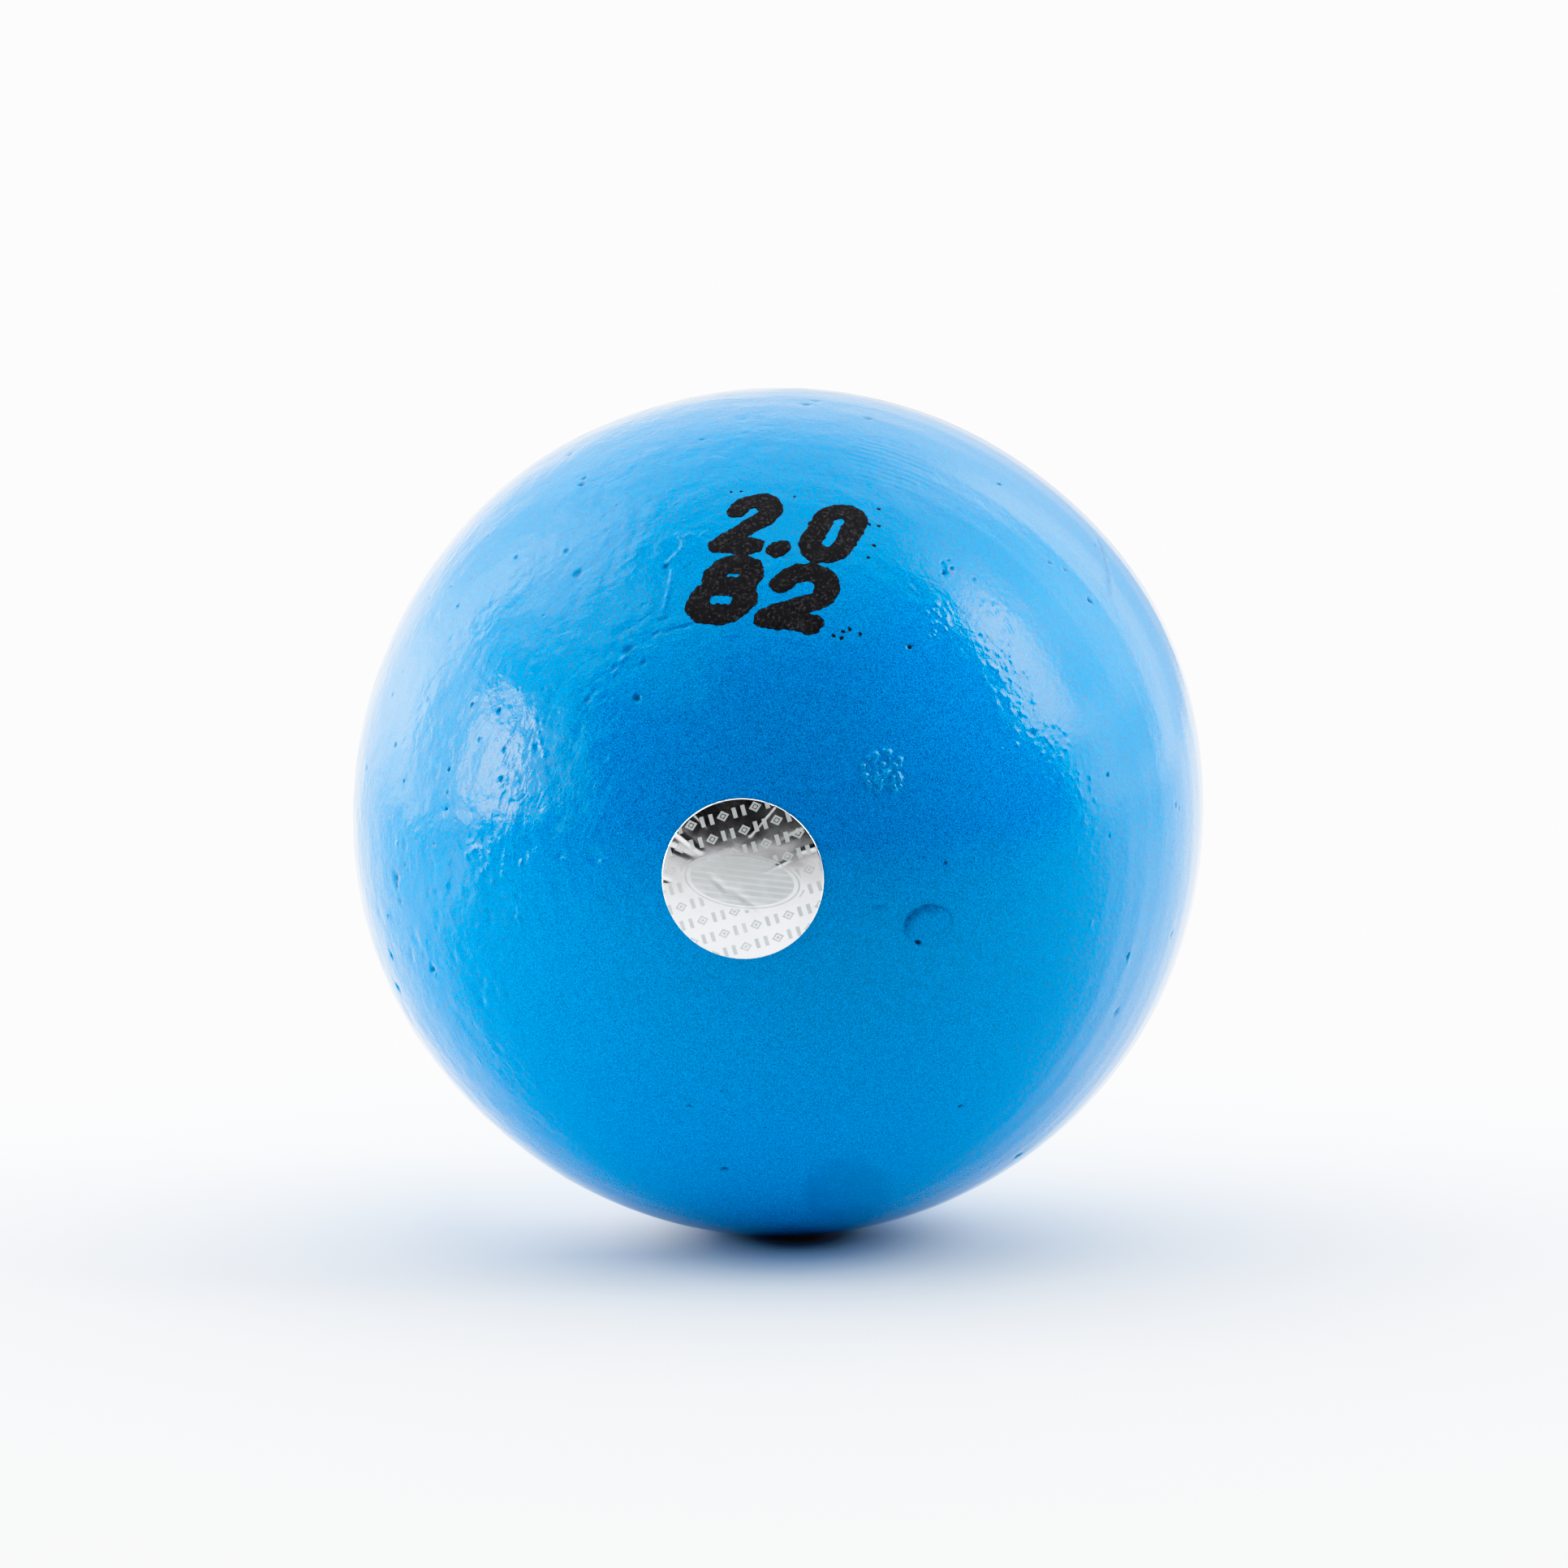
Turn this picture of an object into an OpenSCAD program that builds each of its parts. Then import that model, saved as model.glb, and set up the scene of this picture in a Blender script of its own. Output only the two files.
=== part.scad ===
// Training shot: a painted iron ball with a plugged weight-adjusting hole,
// a round foil label and a stamped weight mark.
// Millimetres. +Z is up, -Y is the front, and the origin is the ball's centre.

/* [Ball] */
// Diameter of the bare iron casting
casting_d = 80.9; // [70:0.1:110]
// Thickness of the primer on the casting
primer_t = 0.1; // [0.05:0.01:0.2]
// Thickness of the enamel on the primer
enamel_t = 0.35; // [0.2:0.05:0.6]

/* [Weight-adjusting hole] */
// Diameter of the drilled hole and of the plug driven into it
hole_d = 4.5; // [3:0.1:8]
// Depth of the hole's straight wall, from the casting's surface
hole_depth = 30; // [16:1:32]
// Included angle of the drill's point
drill_point = 118; // [90:1:140]
// Length of the driven plug
plug_l = 7; // [4:0.5:12]
// Leading chamfer on the plug's inner end
plug_chamfer = 0.5; // [0.2:0.1:1]
// Direction of the hole around the ball, from the front towards the right
hole_az = 19.8; // [-180:0.1:180]
// Direction of the hole above the ball's middle
hole_el = -7.9; // [-80:0.1:80]

/* [Label] */
// Diameter of the round foil label
label_d = 15; // [8:0.1:24]
// How far the adhesive stops short of the foil's edge
adhesive_inset = 0.15; // [0.05:0.05:0.5]
// Thickness of the adhesive
adhesive_t = 0.04; // [0.03:0.01:0.1]
// Thickness of the foil
foil_t = 0.06; // [0.04:0.01:0.12]
// Direction of the label around the ball, from the front towards the right
label_az = -4.9; // [-60:0.1:60]
// Direction of the label above the ball's middle
label_el = -1.5; // [-30:0.1:20]

/* [Weight mark] */
// Height of the upper row of figures
row1_h = 7.4; // [6.4:0.1:8]
// Height of the lower row of figures
row2_h = 7.2; // [6.6:0.1:9]
// Widening of the lower row's figures
row2_wide = 1.08; // [1:0.01:1.2]
// Gap between the rows
row_gap = 0.5; // [0.3:0.1:3]
// Gap between figures
figure_gap = 0.8; // [0.4:0.1:2]
// How far the upper row stands to the right of the lower one
row1_shift = -0.5; // [-3:0.1:3]
// Width of the strokes
stroke = 1.7; // [1:0.1:1.7]
// Thickness of the ink
ink_t = 0.05; // [0.04:0.01:0.1]
// Lean of the figures to the right
mark_lean = 14; // [0:1:18]
// Turn of the mark on the ball, anticlockwise
mark_turn = -8; // [-45:1:45]
// Direction of the mark around the ball, from the front towards the right
mark_az = -0.1; // [-60:0.1:60]
// Direction of the mark above the ball's middle
mark_el = 42.6; // [30:0.1:70]

/* [Hidden] */
$fn = 128;
casting_r = casting_d / 2;
primer_r = casting_r + primer_t;
ball_r = primer_r + enamel_t;
tip_h = hole_d / 2 / tan(drill_point / 2);
adhesive_r = ball_r + adhesive_t;
foil_r = adhesive_r + foil_t;
ink_r = ball_r + ink_t;
row1_w = row1_h * 0.64;
row2_w = row2_h * 0.78;

// Puts local +Z on the ball's surface normal, with local +X to the right
// and local +Y up the ball.
module on_ball(az, el) {
    rotate([90 - el, 0, az]) children();
}

// Skin of the ball between two radii.
module skin(r_in, r_out) {
    difference() {
        sphere(r = r_out);
        sphere(r = r_in);
    }
}

// Round patch of skin, cut by a cylinder along local +Z.
module patch(r_in, r_out, d) {
    intersection() {
        skin(r_in, r_out);
        translate([0, 0, r_in / 2]) cylinder(d = d, h = r_out);
    }
}

// Drilled hole along local +Z, with its mouth at the casting's surface,
// shortened at the mouth by the given amount.
module drilled(short = 0, over = 0) {
    translate([0, 0, casting_r - hole_depth]) {
        cylinder(d = hole_d, h = hole_depth - short + over);
        translate([0, 0, -tip_h]) cylinder(d1 = 0, d2 = hole_d, h = tip_h);
    }
}

module ball_casting() {
    color([0.33, 0.33, 0.34])
    difference() {
        sphere(r = casting_r);
        on_ball(hole_az, hole_el) drilled(over = 2);
    }
}

module lead_slug() {
    color([0.45, 0.46, 0.48])
    on_ball(hole_az, hole_el) drilled(short = plug_l);
}

// The plug's outer end is dressed to the casting's own curve.
module hole_plug() {
    color([0.56, 0.57, 0.58])
    on_ball(hole_az, hole_el)
    intersection() {
        sphere(r = casting_r);
        translate([0, 0, casting_r - plug_l]) {
            cylinder(d1 = hole_d - 2 * plug_chamfer, d2 = hole_d, h = plug_chamfer);
            translate([0, 0, plug_chamfer])
                cylinder(d = hole_d, h = plug_l - plug_chamfer + 2);
        }
    }
}

module primer_coat() {
    color([0.45, 0.15, 0.10]) skin(casting_r, primer_r);
}

module enamel_coat() {
    color([0.01, 0.50, 0.82]) skin(primer_r, ball_r);
}

module label_adhesive() {
    color([0.86, 0.86, 0.80])
    on_ball(label_az, label_el)
    patch(ball_r, adhesive_r, label_d - 2 * adhesive_inset);
}

module label_foil() {
    color([0.88, 0.88, 0.90])
    on_ball(label_az, label_el)
    patch(adhesive_r, foil_r, label_d);
}

// Upright figures, each in a box w wide and h high with its corner at the origin.
module racetrack(w, h) {
    translate([w / 2, w / 2]) circle(d = w);
    translate([w / 2, h - w / 2]) circle(d = w);
    translate([0, w / 2]) square([w, h - w]);
}

module figure_0(w, h) {
    difference() {
        racetrack(w, h);
        translate([stroke, stroke]) racetrack(w - 2 * stroke, h - 2 * stroke);
    }
}

// The arm of a two runs three quarters of the way round its bowl,
// then straight down to the foot.
module figure_2(w, h) {
    r = w / 2;
    difference() {
        translate([r, h - r]) circle(r = r);
        translate([r, h - r]) circle(r = r - stroke);
        polygon([[-1, h - r - 0.2], [r, h - r], [r + 0.55 * r, h - 2 * r - 1], [-1, h - 2 * r - 1]]);
    }
    polygon([[0, stroke], [0, 0], [stroke * 0.9, 0],
             [w, h - r - 0.35 * r], [w - stroke * 0.9, h - r - 0.35 * r]]);
    square([w, stroke]);
}

// Loop of a figure, wider than high, with its hole.
module flat_racetrack(w, h) {
    translate([h / 2, h / 2]) circle(d = h);
    translate([w - h / 2, h / 2]) circle(d = h);
    translate([h / 2, 0]) square([w - h, h]);
}

// Two stacked loops that share a stroke, the lower one larger.
module figure_8(w, h) {
    low_h = 0.53 * (h + stroke);
    up_h = 0.47 * (h + stroke);
    up_w = 0.86 * w;
    up_x = (w - up_w) / 2;
    difference() {
        union() {
            flat_racetrack(w, low_h);
            translate([up_x, h - up_h]) flat_racetrack(up_w, up_h);
        }
        translate([stroke, stroke]) flat_racetrack(w - 2 * stroke, low_h - 2 * stroke);
        translate([up_x + stroke, h - up_h + stroke])
            flat_racetrack(up_w - 2 * stroke, up_h - 2 * stroke);
    }
}

// Lays a figure on the ball at a place in the mark, leaning to the right about
// the line between the rows, and widened.
module ink(dx, dy, wide = 1) {
    k = tan(mark_lean);
    intersection() {
        skin(ball_r, ink_r);
        on_ball(mark_az, mark_el) rotate([0, 0, mark_turn])
        multmatrix([[wide, k, 0, dx + k * dy], [0, 1, 0, dy], [0, 0, 1, ball_r * 0.8]])
            linear_extrude(ball_r * 0.4) children();
    }
}

module weight_stamp() {
    row1_l = 2 * row1_w + 2 * figure_gap + stroke;
    row2_l = 2 * row2_w * row2_wide + figure_gap;
    color([0.07, 0.07, 0.08]) {
        ink(row1_shift - row1_l / 2, row_gap / 2) figure_2(row1_w, row1_h);
        ink(row1_shift - row1_l / 2 + row1_w + figure_gap, row_gap / 2)
            translate([stroke / 2, stroke / 2]) circle(d = stroke);
        ink(row1_shift - row1_l / 2 + row1_w + 2 * figure_gap + stroke, row_gap / 2) figure_0(row1_w, row1_h);
        ink(-row2_l / 2, -row_gap / 2 - row2_h, row2_wide) figure_8(row2_w, row2_h);
        ink(-row2_l / 2 + row2_w * row2_wide + figure_gap, -row_gap / 2 - row2_h, row2_wide) figure_2(row2_w, row2_h);
    }
}

ball_casting();
lead_slug();
hole_plug();
primer_coat();
enamel_coat();
label_adhesive();
label_foil();
weight_stamp();
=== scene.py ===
import math

import bpy
import numpy as np
from mathutils import Matrix


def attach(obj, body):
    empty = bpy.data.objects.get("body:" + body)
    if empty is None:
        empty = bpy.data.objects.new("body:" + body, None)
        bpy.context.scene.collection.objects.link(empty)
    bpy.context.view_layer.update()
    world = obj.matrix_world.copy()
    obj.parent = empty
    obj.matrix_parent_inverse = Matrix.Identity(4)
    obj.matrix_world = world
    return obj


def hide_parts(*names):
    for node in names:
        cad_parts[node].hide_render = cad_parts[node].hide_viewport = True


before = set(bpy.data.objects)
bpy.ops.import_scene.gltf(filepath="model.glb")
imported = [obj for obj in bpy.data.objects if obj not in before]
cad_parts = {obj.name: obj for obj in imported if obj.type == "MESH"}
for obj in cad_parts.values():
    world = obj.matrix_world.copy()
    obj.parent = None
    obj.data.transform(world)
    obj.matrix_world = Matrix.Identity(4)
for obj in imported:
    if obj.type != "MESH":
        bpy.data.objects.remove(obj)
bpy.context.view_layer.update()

# ---------------------------------------------------------------- sizes, in mm
R = 40.9            # painted ball
R_PRIMER = 40.55    # outside of the primer, under the enamel
LABEL_R = 7.5
LABEL_AZ, LABEL_EL = -4.9, -1.5
MARK_AZ, MARK_EL, MARK_TURN, MARK_LEAN = -0.1, 42.6, -8.0, 14.0
PLUG_AZ, PLUG_EL = 19.8, -7.9

# ---------------------------------------------------------------- the camera's place
ELEV = math.radians(7.5)
DIST = 25.0 * R
HALF = 0.07378                  # tangent of half the field of view
BALL_PX = (961.0, 999.0)       # where the ball's centre lies in the 1932 x 1932 frame
TO_CAM = np.array([0.0, -math.cos(ELEV), math.sin(ELEV)])
UP = np.array([0.0, math.sin(ELEV), math.cos(ELEV)])
RIGHT = np.array([1.0, 0.0, 0.0])
PX = DIST * HALF / 966.0        # mm per pixel at the ball's centre


def spot(px, py):
    """Unit direction of the point of the ball seen at a pixel of the frame."""
    o = TO_CAM * DIST
    d = RIGHT * ((px - BALL_PX[0]) * PX) + UP * ((BALL_PX[1] - py) * PX) - o
    d /= np.linalg.norm(d)
    b = o @ d
    p = o + d * (-b - math.sqrt(max(b * b - (o @ o - R * R), 0.0)))
    return p / np.linalg.norm(p)


def pixel(n):
    """Pixel of the frame at which a point of the ball's front lies."""
    p = n * R
    k = DIST / (DIST - p @ TO_CAM) / PX
    return BALL_PX[0] + (p @ RIGHT) * k, BALL_PX[1] - (p @ UP) * k


def frame_at(az, el):
    """Right, up and outward directions at a place on the ball, az from the front towards the right."""
    a, e = math.radians(az), math.radians(el)
    x = np.array([math.cos(a), math.sin(a), 0.0])
    n = np.array([math.sin(a) * math.cos(e), -math.cos(a) * math.cos(e), math.sin(e)])
    return x, np.cross(n, x), n


def frame_of(n):
    """A right and an up direction for a unit normal."""
    x = np.cross([0.0, 0.0, 1.0], n)
    x /= np.linalg.norm(x)
    return x, np.cross(n, x), n


# ---------------------------------------------------------------- noise
class Noise:
    """Seeded gradient noise in three dimensions, about -0.7 to 0.7."""

    def __init__(self, seed):
        rng = np.random.RandomState(seed)
        self.perm = np.tile(rng.permutation(256), 3)
        g = rng.normal(size=(256, 3))
        self.grad = g / np.linalg.norm(g, axis=1)[:, None]

    def __call__(self, p):
        i = np.floor(p).astype(np.int64)
        f = p - i
        i &= 255
        w = f * f * f * (f * (f * 6 - 15) + 10)
        out = np.zeros(len(p))
        for dx in (0, 1):
            for dy in (0, 1):
                for dz in (0, 1):
                    h = self.perm[self.perm[self.perm[i[:, 0] + dx] + i[:, 1] + dy] + i[:, 2] + dz]
                    q = f - (dx, dy, dz)
                    k = (self.grad[h] * q).sum(1)
                    wx = w[:, 0] if dx else 1 - w[:, 0]
                    wy = w[:, 1] if dy else 1 - w[:, 1]
                    wz = w[:, 2] if dz else 1 - w[:, 2]
                    out += k * wx * wy * wz
        return out


def fbm(noise, p, octaves=3, gain=0.5):
    s, a = np.zeros(len(p)), 1.0
    for k in range(octaves):
        s += a * noise(p * 2.03 ** k + 17.3 * k)
        a *= gain
    return s


def step(a, b, x):
    t = np.clip((x - a) / (b - a), 0.0, 1.0)
    return t * t * (3 - 2 * t)


N_WAVE, N_CAST, N_FINE, N_RING, N_MASK, N_DENT, N_FOIL, N_INK = (Noise(s) for s in (3, 11, 23, 31, 47, 59, 71, 83))
AX_X, AX_Y, AXIS = frame_at(LABEL_AZ, LABEL_EL)      # the turning marks run round this axis

# ---------------------------------------------------------------- places read off the photograph
# The ball's outline against a true circle: angle clockwise from the right, mm, width in degrees.
OUTLINE = [(331, 0.30, 13), (258, -0.20, 17), (165, 0.20, 18), (18, -0.23, 14), (300, 0.10, 12), (210, 0.10, 20),
           (25, 0.18, 10), (158, 0.14, 12), (205, -0.12, 10), (238, 0.14, 9), (308, -0.21, 11), (355, -0.04, 9),
           (46, -0.03, 14), (135, -0.10, 10), (290, -0.09, 10)]
# Pits: pixel, radius mm, depth mm, stretch, angle of the long axis in degrees (anticlockwise), how much shade is
# painted into the hollow.
PITS = [
    (785, 860, 0.42, 0.16, 1.0, 0, 0.8), (553, 948, 0.22, 0.16, 1.3, 70, 1.0), (488, 918, 0.24, 0.13, 1.5, 80, 0.7),
    (489, 1080, 0.55, 0.24, 1.7, 80, 0.75), (490, 1092, 0.3, 0.16, 1.8, 85, 0.7), (494, 1110, 0.32, 0.14, 1.4, 85, 0.6),
    (534, 1195, 0.3, 0.14, 1.3, 30, 0.6), (850, 1363, 0.2, 0.10, 1.0, 0, 0.7), (893, 1440, 0.34, 0.15, 1.5, 10, 0.9),
    (1183, 1363, 0.26, 0.13, 1.3, 30, 0.8), (1255, 1424, 0.42, 0.16, 1.7, 30, 0.8), (890, 1345, 0.18, 0.08, 1.0, 0, 0.5),
    (1165, 1063, 0.2, 0.14, 1.2, 110, 1.0), (1121, 797, 0.28, 0.17, 1.2, 20, 1.0), (1231, 596, 0.26, 0.12, 1.7, -20, 0.8),
    (1293, 693, 0.26, 0.12, 1.3, -40, 0.6), (1312, 702, 0.24, 0.10, 1.6, -35, 0.5), (1343, 740, 0.36, 0.15, 1.5, -50, 0.8),
    (1365, 955, 0.2, 0.12, 1.5, 80, 0.8), (1390, 1178, 0.34, 0.12, 1.9, 70, 0.5), (1367, 1030, 0.22, 0.08, 1.3, 60, 0.4),
    (993, 497, 0.5, 0.10, 1.8, 0, 0.5), (1005, 493, 0.4, 0.09, 1.8, 0, 0.4), (1070, 515, 0.42, 0.10, 1.8, -15, 0.6),
    (717, 597, 0.38, 0.12, 1.4, 20, 0.7), (720, 589, 0.3, 0.10, 1.3, 70, 0.6), (602, 661, 0.26, 0.09, 1.3, 20, 0.4),
    (636, 687, 0.26, 0.11, 1.2, 50, 0.6), (698, 679, 0.34, 0.10, 1.2, 0, 0.5), (712, 707, 0.5, 0.09, 1.1, 0, 0.4),
    (556, 723, 0.22, 0.09, 1.2, 40, 0.6), (529, 737, 0.2, 0.07, 1.4, 55, 0.4), (565, 747, 0.28, 0.09, 1.6, 60, 0.4),
    (582, 712, 0.22, 0.08, 1.4, 45, 0.4), (484, 856, 0.22, 0.09, 1.6, 70, 0.6), (528, 862, 0.24, 0.09, 1.6, 75, 0.5),
    (582, 868, 0.22, 0.11, 1.3, 60, 0.8), (615, 875, 0.26, 0.12, 1.8, 80, 0.8), (498, 963, 0.2, 0.09, 1.4, 75, 0.6),
    (453, 947, 0.24, 0.10, 1.8, 80, 0.5), (551, 977, 0.2, 0.09, 1.6, 60, 0.7), (550, 997, 0.16, 0.08, 1.3, 60, 0.7),
    (618, 960, 0.26, 0.10, 1.6, 80, 0.6), (590, 911, 0.2, 0.08, 1.3, 70, 0.5), (622, 923, 0.24, 0.09, 2.0, 75, 0.5),
    (500, 1066, 0.24, 0.09, 1.5, 60, 0.4), (535, 1040, 0.24, 0.08, 1.3, 45, 0.4), (480, 1128, 0.24, 0.09, 1.5, 80, 0.4),
    (508, 1170, 0.34, 0.10, 1.9, 85, 0.4), (485, 1178, 0.26, 0.10, 1.8, 100, 0.4), (492, 1215, 0.26, 0.10, 1.8, 110, 0.4),
    (775, 801, 0.5, 0.10, 1.1, 30, 0.5), (793, 816, 0.34, 0.09, 1.4, 50, 0.4), (759, 822, 0.4, 0.08, 1.8, 50, 0.3),
    (724, 862, 0.4, 0.08, 1.5, 40, 0.3), (1376, 1247, 0.4, 0.13, 2.0, 65, 0.5), (1449, 992, 0.24, 0.11, 2.0, 80, 0.6),
    (1453, 996, 0.2, 0.08, 1.8, 80, 0.4), (1444, 1152, 0.34, 0.12, 2.4, 75, 0.5), (1200, 713, 0.22, 0.07, 1.3, 40, 0.4),
    (1272, 903, 0.3, 0.09, 1.6, 20, 0.5), (1349, 672, 0.24, 0.09, 1.3, 50, 0.5), (702, 560, 0.34, 0.09, 1.7, 25, 0.5),
    (865, 541, 0.3, 0.07, 1.8, 5, 0.4), (935, 515, 0.34, 0.07, 2.0, 5, 0.4), (1138, 1056, 0.16, 0.06, 1.2, 30, 0.6),
    (820, 698, 0.34, 0.09, 1.2, 0, 0.7), (1172, 700, 0.24, 0.10, 1.2, 40, 0.7), (1163, 706, 0.26, 0.11, 1.2, 40, 0.8),
    (1161, 694, 0.2, 0.09, 1.2, 0, 0.6), (1168, 690, 0.18, 0.08, 1.2, 0, 0.6), (1131, 1161, 0.3, 0.18, 1.6, -20, 1.2),
]
# Dents under the paint, soft and without a dark floor: pixel, radius mm, depth mm, stretch, angle.
DENTS = [
    (734, 1056, 0.95, 0.11, 1.3, 150), (692, 1054, 0.62, 0.09, 1.5, 80), (637, 1124, 0.40, 0.07, 2.6, 105), (647, 1146, 0.36, 0.07, 1.3, 30),
    (512, 1152, 0.75, 0.13, 2.2, 95), (508, 1178, 0.62, 0.12, 2.0, 85), (484, 1174, 0.55, 0.10, 2.4, 100), (534, 1192, 0.50, 0.10, 1.6, 50),
    (493, 1216, 0.62, 0.10, 2.2, 110), (503, 1240, 0.55, 0.09, 2.4, 115), (652, 1210, 0.50, 0.05, 2.4, 100), (656, 1224, 0.40, 0.05, 1.6, 110),
    (555, 1096, 0.60, 0.06, 1.8, 80), (541, 1128, 0.62, 0.06, 2.2, 90), (571, 1170, 0.70, 0.05, 1.8, 80), (534, 1066, 0.55, 0.07, 1.6, 60),
    (500, 1040, 0.60, 0.08, 1.6, 70), (472, 1010, 0.60, 0.08, 2.2, 90), (602, 1140, 0.60, 0.05, 1.6, 100), (590, 1220, 0.75, 0.05, 1.8, 110),
    (612, 1290, 0.70, 0.06, 2.0, 130), (560, 1262, 0.70, 0.07, 2.2, 120), (700, 1320, 0.60, 0.04, 1.6, 140), (735, 1235, 0.60, 0.04, 1.5, 120),
    (690, 1130, 0.60, 0.04, 1.6, 90), (765, 1110, 0.55, 0.05, 1.8, 40), (780, 1130, 0.50, 0.05, 1.8, 40), (750, 1096, 0.45, 0.05, 1.6, 35),
    (822, 1196, 0.50, 0.04, 1.5, 30), (860, 1250, 0.55, 0.04, 1.6, 20), (905, 1225, 0.50, 0.04, 1.5, 10), (960, 1240, 0.50, 0.03, 1.5, 0),
    (846, 905, 0.50, 0.05, 1.6, 30), (760, 880, 0.45, 0.05, 1.7, 40), (735, 850, 0.50, 0.06, 1.8, 45), (712, 905, 0.50, 0.04, 1.5, 60),
]
# Lumps: pixel, radius mm, height mm, stretch, angle.
LUMPS = [
    (582, 1048, 0.62, 0.10, 1.9, 35), (575, 1052, 0.4, 0.06, 1.4, 35), (592, 1078, 0.66, 0.10, 2.1, 45), (600, 1068, 0.4, 0.06, 1.3, 40),
    (642, 1064, 0.42, 0.10, 1.7, 70), (652, 1058, 0.26, 0.05, 1.0, 0), (693, 1058, 0.34, 0.05, 1.4, 60), (741, 1062, 0.34, 0.07, 1.4, 70),
    (660, 887, 0.34, 0.07, 1.4, 120), (668, 891, 0.24, 0.05, 1.2, 60), (666, 915, 0.36, 0.09, 1.9, 115), (671, 929, 0.36, 0.09, 1.5, 60),
    (656, 920, 0.26, 0.06, 1.4, 100), (645, 922, 0.24, 0.05, 1.2, 60), (664, 902, 0.2, 0.04, 1.2, 60), (752, 935, 0.26, 0.05, 1.3, 70),
    (544, 1005, 0.5, 0.03, 1.5, 60), (490, 1039, 0.34, 0.07, 1.2, 60), (1168, 698, 0.62, 0.05, 1.1, 0), (1080, 490, 0.7, 0.10, 1.8, -15),
    (1253, 918, 0.3, 0.06, 1.3, 110), (1234, 922, 0.2, 0.04, 1.3, 100), (1345, 1137, 0.36, 0.06, 2.2, 80), (1390, 1186, 0.3, 0.05, 2.0, 70),
    (1142, 755, 0.28, 0.05, 1.3, 110), (1148, 768, 0.3, 0.06, 1.3, 100), (1152, 778, 0.24, 0.05, 1.3, 100), (1145, 784, 0.26, 0.05, 1.3, 100),
    (915, 883, 0.4, 0.03, 2.0, 10), (822, 940, 0.3, 0.025, 1.4, 50), (838, 948, 0.3, 0.025, 1.3, 30),
]
# Ridges (height above 0) and scratches (below 0): half width mm, height mm, then pixels along it.
RIDGES = [
    (0.13, 0.07, [(829, 702), (826, 718), (822, 735), (818, 752)]),
    (0.12, 0.06, [(818, 698), (826, 690), (832, 684), (840, 676), (842, 668), (838, 662), (834, 658)]),
    (0.11, 0.05, [(842, 664), (848, 659), (854, 660)]),
    (0.11, 0.05, [(862, 663), (866, 658), (871, 655)]),
    (0.14, -0.06, [(818, 778), (832, 774), (845, 772), (854, 768)]),
    (0.12, -0.05, [(804, 783), (812, 778)]),
    (0.12, -0.05, [(813, 764), (824, 760)]),
    (0.12, -0.04, [(842, 700), (851, 695)]),
    (0.20, 0.06, [(638, 1118), (638, 1130), (642, 1138)]),
    (0.24, -0.08, [(1354, 668), (1362, 690), (1367, 712), (1368, 730)]),
    (0.14, -0.05, [(1076, 1118), (1090, 1115)]),
    (0.20, 0.05, [(756, 830), (768, 812), (780, 800)]),
]
# Raised pimples in the paint: centre pixel, half width and half height in pixels, how many, radius mm, height mm.
CLUSTERS = [
    (1087, 945, 25, 20, 26, 0.37, 0.225), (1090, 963, 22, 10, 12, 0.40, 0.26), (1067, 975, 9, 6, 3, 0.36, 0.20), (1050, 956, 12, 14, 5, 0.32, 0.09),
    (1225, 790, 26, 60, 46, 0.29, 0.036), (1250, 860, 26, 50, 42, 0.29, 0.036), (1160, 765, 16, 26, 16, 0.32, 0.060),
    (1300, 925, 26, 40, 30, 0.29, 0.032), (1335, 1000, 18, 60, 30, 0.28, 0.030), (830, 942, 22, 18, 10, 0.30, 0.035),
    (625, 950, 20, 60, 24, 0.30, 0.036), (600, 1060, 36, 30, 14, 0.32, 0.050),
]


def near(n, at, reach):
    """Points of the ball within a reach in mm, and their right and up distances in mm."""
    i = np.nonzero(n @ at > math.cos(min(reach / R, 1.5)))[0]
    x, y, _ = frame_of(at)
    return i, (n[i] @ x) * R, (n[i] @ y) * R


def turned(u, v, stretch, angle):
    a = math.radians(angle)
    return (u * math.cos(a) + v * math.sin(a)) / math.sqrt(stretch), (v * math.cos(a) - u * math.sin(a)) * math.sqrt(stretch)


RNG = np.random.RandomState(5)
# A spot's darkness is painted shade in its hollow.
SPOTS = []      # (kind, direction, radius, height, stretch, angle, darkness)
for px, py, r, h, st, an, pit_shade in PITS:
    SPOTS.append(("pit", spot(px, py), 1.3 * r, 1.15 * h, st, an, pit_shade))
for px, py, r, h, st, an in DENTS:
    SPOTS.append(("pit", spot(px, py), 1.25 * r, h, st, an, 0.0))
for px, py, r, h, st, an in LUMPS:
    SPOTS.append(("lump", spot(px, py), r, 1.4 * h, st, an, 0.0))
for px, py, hw, hh, count, r, h in CLUSTERS:
    put = []
    for _ in range(count * 6):
        t, q = RNG.uniform(0, 2 * math.pi), math.sqrt(RNG.uniform(0, 1))
        k = RNG.uniform(0.6, 1.4)
        x, y = px + hw * q * math.cos(t), py + hh * q * math.sin(t)
        if len(put) < count and all(math.hypot(x - a, y - b) > 8.0 * (r * k + c) for a, b, c in put):
            put.append((x, y, r * k))
            SPOTS.append(("lump", spot(x, y), r * k, h * k, RNG.uniform(1.0, 1.8), RNG.uniform(0, 180), 0.0))
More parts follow.
